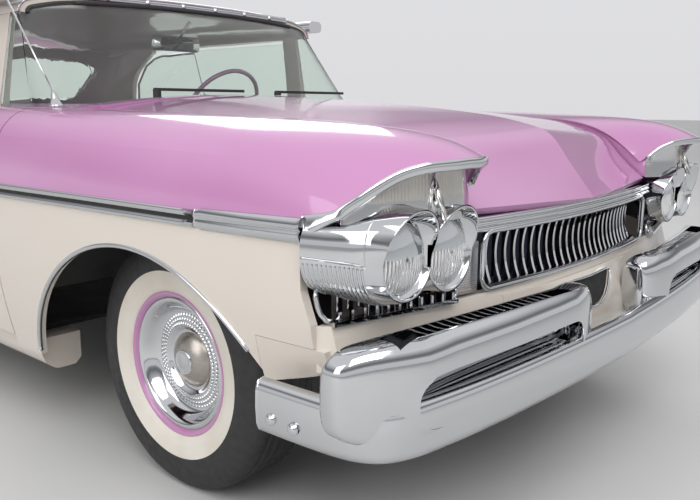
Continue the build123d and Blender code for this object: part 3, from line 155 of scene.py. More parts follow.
LILAC, LILAC_DEEP = (0.50, 0.225, 0.43), (0.475, 0.205, 0.405)
CREAM, CREAM_DEEP = (0.66, 0.60, 0.53), (0.63, 0.57, 0.50)


def paint(name, slot, colour, deeper):
    """Car enamel: a body colour that wanders a little, under a clear gloss coat."""
    return material(name, slot, colour, 0.32, tones=(colour, deeper, 1.7), grain=(260, 0.04, 0.0006),
                    Coat_Weight=1.0, Coat_Roughness=0.03, Specular_IOR_Level=0.5)


SPLIT_LOW_X, SPLIT_HIGH_X, SPLIT_START_Z = -2.8, 2.8, 0.72
SPLIT_LINE = [(-2.64, 0.735), (-2.4, 0.760), (-1.8, 0.775), (0.0, 0.780), (1.65, 0.784), (2.1, 0.786),
              (SPLIT_HIGH_X, 0.786)]


def two_tone_paint():
    """Lilac above the split line of the body side and cream below it, in metres along the car."""
    made = paint("paint_two_tone", "paint_two_tone", LILAC, LILAC_DEEP)
    nodes, links = made.node_tree.nodes, made.node_tree.links
    place, split, along, line, above, mix = new_nodes(
        made, "TexCoord", "SeparateXYZ", "MapRange", "FloatCurve", "Math", "Mix")
    curve = line.mapping.curves[0]
    while len(curve.points) > 2:
        curve.points.remove(curve.points[1])
    curve.points[0].location = (0, SPLIT_START_Z)
    curve.points[1].location = (1, SPLIT_LINE[-1][1])
    for x, z in SPLIT_LINE[:-1]:
        curve.points.new((x - SPLIT_LOW_X) / (SPLIT_HIGH_X - SPLIT_LOW_X), z)
    for point in curve.points:
        point.handle_type = "VECTOR"
    line.mapping.update()
    set_values(along, From_Min=SPLIT_LOW_X, From_Max=SPLIT_HIGH_X)
    above.operation = "GREATER_THAN"
    mix.data_type = "RGBA"
    mix.inputs["A"].default_value = (*CREAM, 1)
    shader = nodes["Principled BSDF"]
    lilac = shader.inputs["Base Color"].links[0].from_socket
    links.new(place.outputs["Object"], split.inputs["Vector"])
    links.new(split.outputs["X"], along.inputs["Value"])
    links.new(along.outputs["Result"], line.inputs["Value"])
    links.new(split.outputs["Z"], above.inputs[0])
    links.new(line.outputs["Value"], above.inputs[1])
    links.new(above.outputs["Value"], mix.inputs["Factor"])
    links.new(lilac, mix.inputs["B"])
    links.new(mix.outputs["Result"], shader.inputs["Base Color"])
    return made


PAINT_LILAC = paint("paint_lilac", "paint_pink", LILAC, LILAC_DEEP)
PAINT_CREAM = paint("paint_cream", "paint_white", CREAM, CREAM_DEEP)
PAINT_TWO_TONE = two_tone_paint()
RIM_PAINT = paint("rim_paint", "paint_pink", LILAC, LILAC_DEEP)
CHROME = material("chrome", "chrome", (0.62, 0.63, 0.645), 0.05, 1.0, wander=(0.03, 0.09, 14),
                  grain=(30, 0.03, 0.0008, 3))
RIBBED = material("ribbed_chrome", "chrome", (0.72, 0.72, 0.73), 0.14, 1.0, flutes=(60, 0.8, "Z", 0.002))
REFLECTOR = material("reflector", "chrome", (0.88, 0.88, 0.86), 0.12, 1.0, wander=(0.08, 0.2, 60))
MIRROR = material("mirror_glass", "chrome", (0.85, 0.87, 0.88), 0.02, 1.0, wander=(0.01, 0.03, 20))
BRUSHED = material("brushed_metal", "wheel_chrome", (0.42, 0.39, 0.35), 0.3, 1.0, wander=(0.24, 0.4, 60),
                   grain=(240, 0.2, 0.0003, 4, (1, 0.05, 1)))
GLASS = material("tinted_glass", "glass", (0.86, 0.93, 0.88), 0.0, wander=(0.0, 0.012, 9),
                 Transmission_Weight=1.0, IOR=1.45)
LAMP_GLASS = material("lamp_glass", "lens", (0.93, 0.94, 0.94), 0.02, flutes=(34, 0.6, "Y", 0.002),
                      Transmission_Weight=0.75, IOR=1.4)
LAMP_CLEAR = material("lamp_clear", "lens", (0.55, 0.58, 0.60), 0.03, 0.55, wander=(0.02, 0.05, 20),
                      Coat_Weight=1.0)
TURN_LENS = material("turn_lens", "lens", (0.50, 0.48, 0.44), 0.12, 0.1, flutes=(40, 0.5, "Y", 0.002),
                     Coat_Weight=1.0)
RED_LENS = material("red_lens", "red_lens", (0.45, 0.01, 0.012), 0.08, wander=(0.04, 0.12, 60),
                    Transmission_Weight=0.5, IOR=1.49)
RUBBER = material("black_rubber", "tyre", (0.022, 0.022, 0.023), 0.62, wander=(0.5, 0.72, 40),
                  grain=(900, 0.25, 0.0005))
WHITEWALL = material("whitewall", "tyre", (0.71, 0.665, 0.59), 0.55,
                     tones=((0.72, 0.68, 0.61), (0.66, 0.61, 0.53), 9), grain=(500, 0.12, 0.0004))
UNDERBODY = material("underbody_black", "underbody", (0.025, 0.025, 0.027), 0.7,
                     tones=((0.018, 0.018, 0.02), (0.045, 0.042, 0.04), 6), grain=(120, 0.4, 0.002))
# Painted shade: a near-black put in the wheel covers' holes, the bumper slot's slit, the mouldings' groove and
# the nose opening, where the shade falls
PAINTED_SHADE_BLACK = material("painted_shade_black", "underbody", (0.012, 0.012, 0.012), 0.7, wander=(0.6, 0.8, 50))
IRON = material("engine_paint", "engine_iron", (0.03, 0.05, 0.09), 0.45, 0.2, wander=(0.35, 0.6, 20),
                grain=(160, 0.2, 0.001))
INTERIOR_PAINT = material("interior_paint", "interior_paint", (0.40, 0.20, 0.36), 0.4, wander=(0.35, 0.5, 30),
                          grain=(350, 0.08, 0.0005), Coat_Weight=0.4)
DIAL = material("dial_face", "interior_paint", (0.03, 0.03, 0.035), 0.35, wander=(0.3, 0.45, 80))
SEAT_CLOTH = material("seat_cloth", "seat_cloth", (0.40, 0.37, 0.40), 0.85,
                      tones=((0.42, 0.39, 0.42), (0.33, 0.30, 0.34), 90), flutes=(220, 0.5, "X", 0.0006),
                      Sheen_Weight=0.3)
SEAT_VINYL = material("seat_vinyl", "seat_cloth", (0.46, 0.25, 0.41), 0.42, wander=(0.35, 0.5, 60),
                      grain=(420, 0.25, 0.0005), Coat_Weight=0.2)

# The CAD nodes that are carried over, by material
CARRIED = (
    (PAINT_LILAC, "hood trunk_lid cowl rear_deck"), (PAINT_TWO_TONE, "front_fender door quarter_panel"),
    (PAINT_CREAM, "front_valance tail_panel rockers roof"), (GLASS, "windshield door_glass rear_windows"),
    (CHROME, "front_bumper rear_bumper grille lamp_pod antenna air_ducts wheel"), (RUBBER, "wipers tyre"),
    (LAMP_GLASS, "headlamps"), (RED_LENS, "tail_lamps"), (IRON, "engine"),
    (INTERIOR_PAINT, "dashboard steering_column steering_wheel front_seat rear_seat"),
    (UNDERBODY, "floor_pan wheelhouses chassis_frame driveline exhaust fuel_tank rear_axle"),
    (UNDERBODY, "front_suspension knuckle"),
)
FINISH = {stem: finish for finish, stems in CARRIED for stem in stems.split()}
for node_name, node in NODES.items():
    stem = node_name
    for ending in ("_left", "_right", "_front", "_rear"):
        stem = stem.removesuffix(ending)
    node.data.materials.clear()
    node.data.materials.append(FINISH[stem])


# Mesh helpers

def add_piece(name, shape, materials, body="body", side=1, kinds=None, bevel=0.0, levels=0, flat=False):
    """A mesh piece that rides on a body. kinds gives each face's material number."""
    points, faces = shape
    mesh = bpy.data.meshes.new(name)
    places = [(x * MM, y * side * MM, z * MM) for x, y, z in points]
    mesh.from_pydata(places, [], flipped(faces) if side < 0 else faces)
    for m in materials:
        mesh.materials.append(m)
    if kinds:
        mesh.polygons.foreach_set("material_index", kinds)
    mesh.polygons.foreach_set("use_smooth", [not flat] * len(mesh.polygons))
    mesh.validate()
    mesh.update()
    piece = bpy.data.objects.new(name, mesh)
    bpy.context.scene.collection.objects.link(piece)
    if bevel:
        edge = piece.modifiers.new("edge", "BEVEL")
        edge.width, edge.segments = bevel * MM, 2
        edge.limit_method, edge.angle_limit = "ANGLE", radians(35)
    if levels:
        smooth = piece.modifiers.new("smooth", "SUBSURF")
        smooth.levels = smooth.render_levels = levels
    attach(piece, body)
    return piece


def twins(name, shape, materials, body="body", **rest):
    """The same piece on both sides; each door carries its own."""
    made = []
    for side_name, side in SIDES:
        carrier = body if body == "body" else f"{body}_{side_name}"
        made.append(add_piece(f"{name}_{side_name}", shape, materials, carrier, side, **rest))
    return made


def apply_modifiers(piece):
    """Give a piece the mesh that its modifiers make."""
    graph = bpy.context.evaluated_depsgraph_get()
    piece.data = bpy.data.meshes.new_from_object(piece.evaluated_get(graph))
    piece.modifiers.clear()


def cut_out(piece, side, *tools):
    """Cut closed shapes out of a piece."""
    cutters = [add_piece(f"cutter_{k}", tool, [piece.data.materials[0]], side=side, flat=True)
               for k, tool in enumerate(tools)]
    for cutter in cutters:
        cut = piece.modifiers.new(cutter.name, "BOOLEAN")
        cut.operation, cut.solver, cut.object = "DIFFERENCE", "EXACT", cutter
    apply_modifiers(piece)
    for cutter in cutters:
        bpy.data.objects.remove(cutter)
    piece.data.set_sharp_from_angle(angle=radians(40))


def flipped(faces):
    """Faces turned to their other side."""
    return [tuple(reversed(f)) for f in faces]


def grid_faces(rows, columns, close_rows=False, close_columns=False):
    """Quads over a grid of points, row after row."""
    faces = []
    for i in range(rows if close_rows else rows - 1):
        for j in range(columns if close_columns else columns - 1):
            low, high = i * columns, (i + 1) % rows * columns
            faces.append((low + j, low + (j + 1) % columns, high + (j + 1) % columns, high + j))
    return faces


def capped(rows, columns, turned=False):
    """Faces of a row of rings, closed at both ends; turned faces the ends the other way."""
    ends = [tuple(reversed(range(columns))), tuple(range((rows - 1) * columns, rows * columns))]
    return grid_faces(rows, columns, close_columns=True) + (flipped(ends) if turned else ends)


def turns(count):
    """Even angles round a circle."""
    return [2 * pi * k / count for k in range(count)]


def joined(*shapes):
    """Several shapes as one."""
    points, faces = [], []
    for some_points, some_faces in shapes:
        faces += [tuple(len(points) + i for i in f) for f in some_faces]
        points += some_points
    return points, faces


def coloured(*parts):
    """Several (shape, material number) pairs as one shape with its kinds."""
    return joined(*(shape for shape, _ in parts)), [kind for (_, faces), kind in parts for _ in faces]


def lathe(x, y, z, profile, steps, closed=True):
    """(out, radius) pairs turned about an axle along Y."""
    points = [(x + r * cos(turn), y + out, z + r * sin(turn)) for turn in turns(steps) for out, r in profile]
    return points, grid_faces(steps, len(profile), close_rows=True, close_columns=closed)


def discs(x, y, z, profile, steps=64):
    """Rings of (station, radius) about an axis along X."""
    points = [(x + station, y + r * cos(turn), z + r * sin(turn))
              for station, r in profile for turn in turns(steps)]
    return points, grid_faces(len(profile), steps, close_columns=True)


def neighbours(path, i, closed=False):
    """The places before and after one place of a path."""
    before = path[i - 1] if (i or closed) else path[i]
    after = path[(i + 1) % len(path)] if (i < len(path) - 1 or closed) else path[i]
    return before, after


def sweep(path, outs, profile, grow=None):
    """A profile of (out, up) pairs along a path; outs are its outward ways.

    grow gives each place its own factor on the profile's height.
    """
    points = []
    for i, p in enumerate(path):
        before, after = neighbours(path, i)
        along = (Vector(after) - Vector(before)).normalized()
        out = Vector(outs[i])
        out = (out - along * out.dot(along)).normalized()
        up = along.cross(out)
        points += [tuple(Vector(p) + out * a + up * (b * grow[i] if grow else b)) for a, b in profile]
    return points, capped(len(path), len(profile), turned=True)


def sweep_found(found, profile):
    """A sweep along (place, outward way) pairs, without the places that weren't found."""
    found = [f for f in found if f]
    return sweep([place for place, _ in found], [way for _, way in found], profile)


def tube(path, radius, sides=8, closed=False, flat=1.0):
    """A round bar along a path; flat squeezes it across its first side."""
    points = []
    path = [Vector(p) for p in path]
    side_way = None
    for i, p in enumerate(path):
        before, after = neighbours(path, i, closed)
        along = (after - before).normalized()
        if side_way is None:
            side_way = along.orthogonal()
        side_way = (side_way - along * side_way.dot(along)).normalized()
        other = along.cross(side_way)
        for turn in turns(sides):
            points.append(tuple(p + side_way * (radius * flat * cos(turn)) + other * (radius * sin(turn))))
    if closed:
        return points, grid_faces(len(path), sides, close_rows=True, close_columns=True)
    return points, capped(len(path), sides)


def boxes(items):
    """Boxes given as (low corner, high corner)."""
    made = []
    for (x0, y0, z0), (x1, y1, z1) in items:
        ring = [(x0, y0), (x1, y0), (x1, y1), (x0, y1)]
        made.append(([(x, y, z) for z in (z0, z1) for x, y in ring], capped(2, 4)))
    return joined(*made)


def rounded_outline(y0, y1, z0, z1, r, steps=8):
    """A rounded rectangle across the car."""
    corners = ((y1 - r, z1 - r, 0), (y0 + r, z1 - r, 90), (y0 + r, z0 + r, 180), (y1 - r, z0 + r, 270))
    turns = [(cy, cz, radians(first + 90 * k / steps)) for cy, cz, first in corners for k in range(steps + 1)]
    return [(cy + r * cos(turn), cz + r * sin(turn)) for cy, cz, turn in turns]


def surface(*names):
    """A tree for finding places on the named CAD nodes."""
    points, faces = joined(*(([v.co.copy() for v in NODES[name].data.vertices],
                              [tuple(f.vertices) for f in NODES[name].data.polygons]) for name in names))
    return BVHTree.FromPolygons(points, faces)


def tree_of(shape):
    """A tree for finding places on a shape."""
    return BVHTree.FromPolygons([Vector(q) * MM for q in shape[0]], shape[1])


FAR = 2
INWARD, DOWNWARD, FORWARD, REARWARD = [Vector(way) for way in ((0, -1, 0), (0, 0, -1), (1, 0, 0), (-1, 0, 0))]
SIDE_SKIN = surface("front_fender_left", "door_left", "quarter_panel_left", "front_valance")
SIDE_LEAST_Y = 0.4


def side_point(x, z):
    """Place and outward way on the body side, seen from the left, or None."""
    for dx in (0, 5, -5, 9, -9):
        hit, normal, _, _ = SIDE_SKIN.ray_cast(Vector(((x + dx) * MM, FAR, z * MM)), INWARD)
        if hit and hit.y > SIDE_LEAST_Y:
            return (x, hit.y / MM, z), normal
    return None


# Wheels: tyre with a wide white wall, painted rim and full cover with a pierced ring

WHEEL_STEPS = 96
WALL_IN_R, WALL_OUT_R = 195, 254
TYRE_WALL = [(78, 192), (86, 196), (92, 204), (98, 226), (101.2, 252), (101.8, 254.5), (101.6, 275),
             (99, 298), (95, 318), (89, 332), (80, 341), (70, 345.5)]
TREAD_GROOVES, GROOVE_DEPTH, GROOVE_HALF = (56, 30, 4), 7, 3
CROWN_DROP, CROWN_DROP_OUT = 2.2, 70
RIM_PROFILE = [(60, 168), (70, 176), (78, 181), (83, 184), (87, 188), (89, 193), (88, 197), (84, 197.5),
               (70, 189), (60, 186), (-60, 186), (-76, 189.5), (-80, 189.5), (-78, 184), (-60, 172),
               (10, 160), (20, 150), (30, 60), (22, 24), (12, 60), (20, 140), (40, 165)]
COVER_OUTER = [(79, 181), (82, 177), (82, 172), (78, 166), (68, 159), (54, 152), (44, 144), (39, 137),
               (38, 133)]
COVER_INNER = [(47, 97), (45, 93), (38, 86), (33, 78), (34, 75)]
CONE = [(34, 76), (40, 72), (52, 54), (60, 36), (60, 33)]
MEDALLION = [(60, 34), (64, 33), (65, 29), (63, 27), (64, 20), (66, 10), (66.5, 0.5)]
PIERCED_IN, PIERCED_OUT = (47, 97), (38, 133)
PIERCED_ROWS, PIERCED_COLUMNS, HOLE_SHARE, HOLE_DEPTH = 3, 64, 0.70, 6


def tyre_profile():
    """The outer wall, the grooved tread and the inner wall as (out, radius)."""
    half = list(TYRE_WALL)
    for groove in TREAD_GROOVES:
        crown = TYRE_RADIUS - CROWN_DROP * (groove / CROWN_DROP_OUT) ** 2
        half += [(groove + GROOVE_HALF, crown), (groove + GROOVE_HALF - 1, crown - GROOVE_DEPTH),
                 (groove - GROOVE_HALF + 1, crown - GROOVE_DEPTH), (groove - GROOVE_HALF, crown)]
    return half + [(-out, r) for out, r in reversed(half)]


def pierced_ring(x, y, z):
    """The cover's ring of small square holes: its shape, and which of its faces are painted shade, the
    near-black floors of the holes.
    """
    holes = []
    for i in range(PIERCED_ROWS):
        for k in range(PIERCED_COLUMNS):
            corners = []
            for di, dk in ((0, 0), (1, 0), (1, 1), (0, 1)):
                share = (i + di) / PIERCED_ROWS
                out, r = [a + share * (b - a) for a, b in zip(PIERCED_OUT, PIERCED_IN)]
                turn = 2 * pi * (k + dk + 0.5 * (i % 2)) / PIERCED_COLUMNS
                corners.append(Vector((x + r * cos(turn), y + out, z + r * sin(turn))))
            middle = sum(corners, Vector()) / 4
            inner = [middle + (c - middle) * HOLE_SHARE for c in corners]
            sunk = [c - Vector((0, HOLE_DEPTH, 0)) for c in inner]
            walls = grid_faces(3, 4, close_columns=True)
            # the sunk floor of each hole is painted shade in near-black
            holes.append(([tuple(c) for c in corners + inner + sunk], walls + [(8, 9, 10, 11)]))
    return joined(*holes), ([0] * 8 + [1]) * len(holes)


profile = tyre_profile()
white = [int(out > 0 and WALL_IN_R < (r + after_r) / 2 < WALL_OUT_R)
         for (out, r), (_, after_r) in zip(profile, profile[1:] + profile[:1])]
for end, axle_x in AXLES.items():
    hub, body = (axle_x, HALF_TRACK, HUB_Z), f"wheel_{end}"
    tyres = twins(f"tyre_carcass_{end}", lathe(*hub, profile, WHEEL_STEPS), [RUBBER, WHITEWALL], body,
                  kinds=white * WHEEL_STEPS)
    rims = twins(f"wheel_rim_{end}", lathe(*hub, RIM_PROFILE, WHEEL_STEPS), [RIM_PAINT], body, bevel=1)
    for tyre, rim, (side_name, _) in zip(tyres, rims, SIDES):
        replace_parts(tyre, f"tyre_{end}_{side_name}")
        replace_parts(rim, f"wheel_{end}_{side_name}")
    dish, dish_kinds = coloured(*((lathe(*hub, part, WHEEL_STEPS, closed=False), kind) for part, kind in
                                  ((COVER_OUTER, 0), (COVER_INNER, 0), (CONE, 2), (MEDALLION, 0))))
    ring, ring_kinds = pierced_ring(*hub)
    for cover in twins(f"wheel_cover_{end}", joined(dish, ring), [CHROME, PAINTED_SHADE_BLACK, BRUSHED], body,
                       kinds=dish_kinds + ring_kinds):
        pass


# Side mouldings: a double ridge with a groove whose floor is painted shade in near-black, cut where the panels
# part

SPEAR_PROFILE = [(-4, -19), (3, -20), (8, -15), (6, -9), (2, -5), (2, 5), (6, 9), (8, 15), (3, 20), (-4, 19)]
SPEAR_SHADE_FACE, SPEAR_STEP = 4, 40
CREASE = [(-2600, 738), (-2400, 760), (-1800, 775), (-1000, 780), (500, 780), (1650, 783), (2090, 783)]
PANEL_GAP, GAP_EASE = 6, 1.5
DOOR_LOW, DOOR_HIGH = box("door_left")
SPEAR_RUNS = (("fender", DOOR_HIGH.x + PANEL_GAP + GAP_EASE, 2084, "body"),
              ("door", DOOR_LOW.x + GAP_EASE, DOOR_HIGH.x - GAP_EASE, "door"),
              ("quarter", -2596, DOOR_LOW.x - PANEL_GAP - GAP_EASE, "body"))


def crease_z(x):
    """Height of the side's crease at a place along the car."""
    for (x0, z0), (x1, z1) in zip(CREASE, CREASE[1:]):
        if x <= x1:
            return z0 + (z1 - z0) * (x - x0) / (x1 - x0)
    return CREASE[-1][1]


for run, rear_x, front_x, carrier in SPEAR_RUNS:
    count = int((front_x - rear_x) / SPEAR_STEP)
    stations = [front_x + (rear_x - front_x) * i / count for i in range(count + 1)]
    points, faces = sweep_found([side_point(x, crease_z(x)) for x in stations], SPEAR_PROFILE)
    # the groove's floor takes the near-black painted shade
    kinds = [int(i < len(faces) - 2 and i % len(SPEAR_PROFILE) == SPEAR_SHADE_FACE) for i in range(len(faces))]
    twins(f"side_moulding_{run}", (points, faces), [CHROME, PAINTED_SHADE_BLACK], carrier, kinds=kinds)

# The moulding's thick front end, which runs into the lamp pod
FENDER_END_X = 2389
HEAD_STATIONS = [(2088, 20, 5, 783), (2110, 24, 10, 784), (2250, 25, 13, 786), (FENDER_END_X, 26, 15, 788),
                 (2402, 26, 15, 788)]
HEAD_ROUND = [(-1.0, -1.0), (0.3, -1.0), (0.75, -0.7), (1.0, -0.25), (0.55, 0.05), (1.0, 0.35), (0.75, 0.8),
              (0.3, 1.0), (-1.0, 1.0)]
points = []
for x, half, thick, z in HEAD_STATIONS:
    y = side_point(min(x, FENDER_END_X), z)[0][1]
    points += [(x, y + a * thick, z + b * half) for a, b in HEAD_ROUND]
twins("moulding_head", (points, capped(len(HEAD_STATIONS), len(HEAD_ROUND), turned=True)), [CHROME], bevel=2)

# Wheel arch lips
ARCH_LIPS = (("front", 1812, 139, 546, 42, 165), ("rear", -1310, 175, 458, 16, 164))
LIP_PROFILE = [(-6, -5), (3, -5), (5, -2), (5, 3), (2, 6), (-6, 6)]
LIP_STEPS, LIP_OUT, LIP_SEEN_OUT = 48, 3, 8
for end, x0, z0, radius, first, last in ARCH_LIPS:
    found = []
    for i in range(LIP_STEPS + 1):
        turn = radians(first + (last - first) * i / LIP_STEPS)
        seen = side_point(x0 + (radius + LIP_SEEN_OUT) * cos(turn), z0 + (radius + LIP_SEEN_OUT) * sin(turn))
        lip = radius + LIP_OUT
        found.append(seen and ((x0 + lip * cos(turn), seen[0][1], z0 + lip * sin(turn)), (0, 1, 0)))
    twins(f"arch_lip_{end}", sweep_found(found, LIP_PROFILE), [CHROME])


# Brow lip: the bright edge of the fender over the lamps, found from the fender's own edge

FENDER = surface("front_fender_left")
BROW_LEAST_Y, BROW_CORNER_Y = 0.7, 944
BROW_ACROSS = [943, 935, 920, 900, 875, 850, 820, 790, 760, 730, 705, 690, 675, 655, 630, 600, 570, 552, 540]
BROW_PROFILE = [(-8, 2), (2, 3), (5, 0), (6, -8), (5, -16), (1, -20), (-8, -19)]


def edge_between(on, off, seen):
    """Where a surface ends, between a measure at which it is seen and one at which it isn't."""
    for _ in range(14):
        middle = (on + off) / 2
        on, off = (middle, off) if seen(middle) else (on, middle)
    return on


def brow_side(x, z):
    """Whether the fender shows from the side at a place."""
    hit = FENDER.ray_cast(Vector((x * MM, FAR, z * MM)), INWARD)[0]
    return hit and hit.y > BROW_LEAST_Y


def brow_top(x, y):
    """The fender's place seen from above, or None."""
    return FENDER.ray_cast(Vector((x * MM, y * MM, FAR)), DOWNWARD)[0]


brow_path, brow_outs = [], []
for x in range(2394, 2470, 12):
    z = edge_between(895, 790, lambda height: brow_side(x, height))
    place, way = side_point(x, z + 3)
    brow_path.append((x, place[1], z))
    brow_outs.append(way)
for y in BROW_ACROSS:
    x = edge_between(2380, 2680, lambda station: brow_top(station, y))
    brow_path.append((x, y, brow_top(x - 4, y).z / MM))
for i in range(len(brow_outs), len(brow_path)):
    before, after = neighbours(brow_path, i)
    flat_way = Vector((before[1] - after[1], after[0] - before[0], 0)).normalized()
    brow_outs.append(flat_way if flat_way.x > 0 else -flat_way)
brow_grow = [1 + 1.1 * max(0.0, (2455 - x) / 64) if y > BROW_CORNER_Y else 1.0 for x, y, _ in brow_path]
twins("brow_lip", sweep(brow_path, brow_outs, BROW_PROFILE, grow=brow_grow), [CHROME], levels=1)


# Lamps: a fluted lens over a bright bowl, in a rim that stands forward at its top like an eyelid

LAMPS = ((2531, 822, 729, 1), (2536, 673, 724, -1))
LAMP_SPLIT_Y, LENS_SPLIT_Z = 747.5, 733
LENS_R, LENS_DOME, BOWL_SET_BACK = 71, 12, 4
TIP_X, TIP_R, LID_REACH, LID_RISE, LID_STEPS = 2545, 84, 31, 17, 96
LENS_PROFILE = [(-3, 0.5), (-3, LENS_R)]
LENS_PROFILE += [(LENS_DOME * (1 - (r / LENS_R) ** 2), r) for r in (0.5, 8, 16, 24, 32, 40, 48, 56, 64, 71)]
BOWL_PROFILE = [(-1, LENS_R), (-12, 64), (-24, 50), (-33, 33), (-38, 14), (-38, 12), (-20, 11), (-14, 8),
                (-12, 0.5)]


def eyelid(x, y, z, outward):
    """The rim of a lamp: its tip reaches forward and up over the lens, and stops at its neighbour."""
    points = []
    rings = ((TIP_X - 4, TIP_R + 0.5, 1.0), (TIP_X, TIP_R, 1.0), (TIP_X + 1, TIP_R - 2.5, 1.0),
             (TIP_X - 1, TIP_R - 5, 1.0), (x + 1, LENS_R + 8, 0.0), (x + 1, LENS_R + 1, 0.0),
             (x - 6, LENS_R + 1, 0.0))
    for station, r, share in rings:
        for turn in turns(LID_STEPS):
            rise = max(0.0, sin(turn)) * share
            across = y + (r + LID_RISE * rise) * cos(turn)
            across = max(across, LAMP_SPLIT_Y) if outward > 0 else min(across, LAMP_SPLIT_Y)
            points.append((station + LID_REACH * rise, across, z + (r + LID_RISE * rise) * sin(turn)))
    return points, flipped(grid_faces(len(rings), LID_STEPS, close_columns=True))


points, faces = joined(*(discs(x, y, z, LENS_PROFILE) for x, y, z, _ in LAMPS))
kinds = [int(sum(points[i][2] for i in f) / len(f) > LENS_SPLIT_Z) for f in faces]
lens, _ = twins("headlamp_lens", (points, faces), [LAMP_GLASS, LAMP_CLEAR], kinds=kinds)
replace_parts(lens, "headlamps")
points, faces = joined(*(discs(x - BOWL_SET_BACK, y, z, BOWL_PROFILE) for x, y, z, _ in LAMPS))
twins("headlamp_bowl", (points, flipped(faces)), [REFLECTOR])
twins("headlamp_eyelid", joined(*(eyelid(*lamp) for lamp in LAMPS)), [CHROME])


# Lamp pod: one bright shell from the fender's nose to the tips of both lamps

POD_MIDDLE_Y, POD_MIDDLE_Z, POD_STEPS, POD_SOFTEN = 760, 722, 120, 0.06
POD_SECTIONS = (
    (2406, [(984, 772), (984, 722), (974, 694), (958, 674), (925, 660), (860, 654), (700, 652), (620, 660),
            (598, 720), (600, 790), (700, 828), (880, 826), (952, 812), (978, 792)]),
    (2450, [(958, 765), (958, 722), (948, 690), (932, 666), (900, 650), (850, 642), (700, 640), (612, 652),
            (592, 720), (596, 790), (700, 834), (880, 834), (934, 814), (954, 790)]),
    (2495, [(933, 758), (933, 722), (926, 690), (908, 660), (880, 643), (840, 635), (690, 636), (608, 650),
            (588, 720), (592, 790), (690, 836), (865, 836), (908, 817), (928, 790)]),
)


def polar(y, z):
    """Angle and reach from the pod's middle."""
    return atan2(z - POD_MIDDLE_Z, y - POD_MIDDLE_Y) % (2 * pi), hypot(y - POD_MIDDLE_Y, z - POD_MIDDLE_Z)


def reach_of(outline, turn):
    """Reach of a section's outline at an angle, between its nearest corners."""
    corners = sorted(polar(y, z) for y, z in outline)
    before, after = corners[-1], corners[0]
    corners = [(before[0] - 2 * pi, before[1])] + corners + [(after[0] + 2 * pi, after[1])]
    for (a0, r0), (a1, r1) in zip(corners, corners[1:]):
        if a0 <= turn <= a1:
            share = (turn - a0) / max(a1 - a0, 1e-6)
            y = r0 * cos(a0) + share * (r1 * cos(a1) - r0 * cos(a0))
            z = r0 * sin(a0) + share * (r1 * sin(a1) - r0 * sin(a0))
            return hypot(y, z)
    return corners[0][1]


def lamp_tip(turn):
    """Reach and station of the lamps' joint rim at an angle about the pod's middle."""
    best = (0.0, TIP_X)
    for _, y, z, _ in LAMPS:
        for about in turns(360):
            rise = max(0.0, sin(about))
            r = TIP_R + LID_RISE * rise
            angle, reach = polar(y + r * cos(about), z + r * sin(about))
            apart = abs((angle - turn + pi) % (2 * pi) - pi)
            if apart < 0.03 and reach > best[0]:
                best = (reach, TIP_X + LID_REACH * rise)
    return best


def pod_shell():
    """Rings of the shell from the fender's nose to the tips."""
    points = []
    for x, outline in POD_SECTIONS:
        for turn in turns(POD_STEPS):
            reach = sum(reach_of(outline, (turn + d) % (2 * pi)) for d in (-POD_SOFTEN, 0.0, POD_SOFTEN)) / 3
            points.append((x, POD_MIDDLE_Y + reach * cos(turn), POD_MIDDLE_Z + reach * sin(turn)))
    last = points[-POD_STEPS:]
    tips = [(turn, *lamp_tip(turn)) for turn in turns(POD_STEPS)]
    for share in (0.35, 0.7, 0.92, 1.0):
        for (x, y, z), (turn, reach, station) in zip(last, tips):
            points.append((x + share * (station - x),
                           y + share ** 1.3 * (POD_MIDDLE_Y + reach * cos(turn) - y),
                           z + share ** 1.3 * (POD_MIDDLE_Z + reach * sin(turn) - z)))
    return points, flipped(grid_faces(len(points) // POD_STEPS, POD_STEPS, close_columns=True))


shell = pod_shell()
for made, (side_name, _) in zip(twins("lamp_shell", shell, [CHROME]), SIDES):
    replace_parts(made, f"lamp_pod_{side_name}")
POD, POD_LEAST_Y = tree_of(shell), 0.82
RIB_FIRST_X, RIB_LAST_X, RIB_COUNT, RIB_TOP_Z, RIB_LOW_Z, RIB_STEPS = 2410, 2512, 14, 730, 640, 20
RIB_PROFILE = [(-1, -2.4), (2, -0.8), (2, 0.8), (-1, 2.4)]
SEAM_PROFILE = [(-1, -1), (0.8, -0.5), (0.8, 0.5), (-1, 1)]


def pod_side(x, z):
    """Place on the shell's flank and its outward way, or None."""
    hit, normal, _, _ = POD.ray_cast(Vector((x * MM, FAR, z * MM)), INWARD)
    return ((x, hit.y / MM, z), normal) if hit and hit.y > POD_LEAST_Y else None


ribs = []
for i in range(RIB_COUNT):
    x = RIB_FIRST_X + (RIB_LAST_X - RIB_FIRST_X) * i / (RIB_COUNT - 1)
    heights = [RIB_TOP_Z - i * 0.5 + (RIB_LOW_Z - RIB_TOP_Z) * k / RIB_STEPS for k in range(RIB_STEPS + 1)]
    found = [pod_side(x, z) for z in heights]
    if len(found) - found.count(None) > 3:
        ribs.append(sweep_found(found, RIB_PROFILE))
crease = sweep_found([pod_side(x, 740 - (x - 2406) * 0.1) for x in range(2407, 2520, 6)], RIB_PROFILE)
seam = sweep_found([pod_side(2518, z) for z in range(724, 822, 7)], SEAM_PROFILE)
twins("pod_ribs", joined(*ribs, crease, seam), [CHROME])


# Under the brow: a bright hollow with a wide turn lens, a post and a leaf-shaped fin

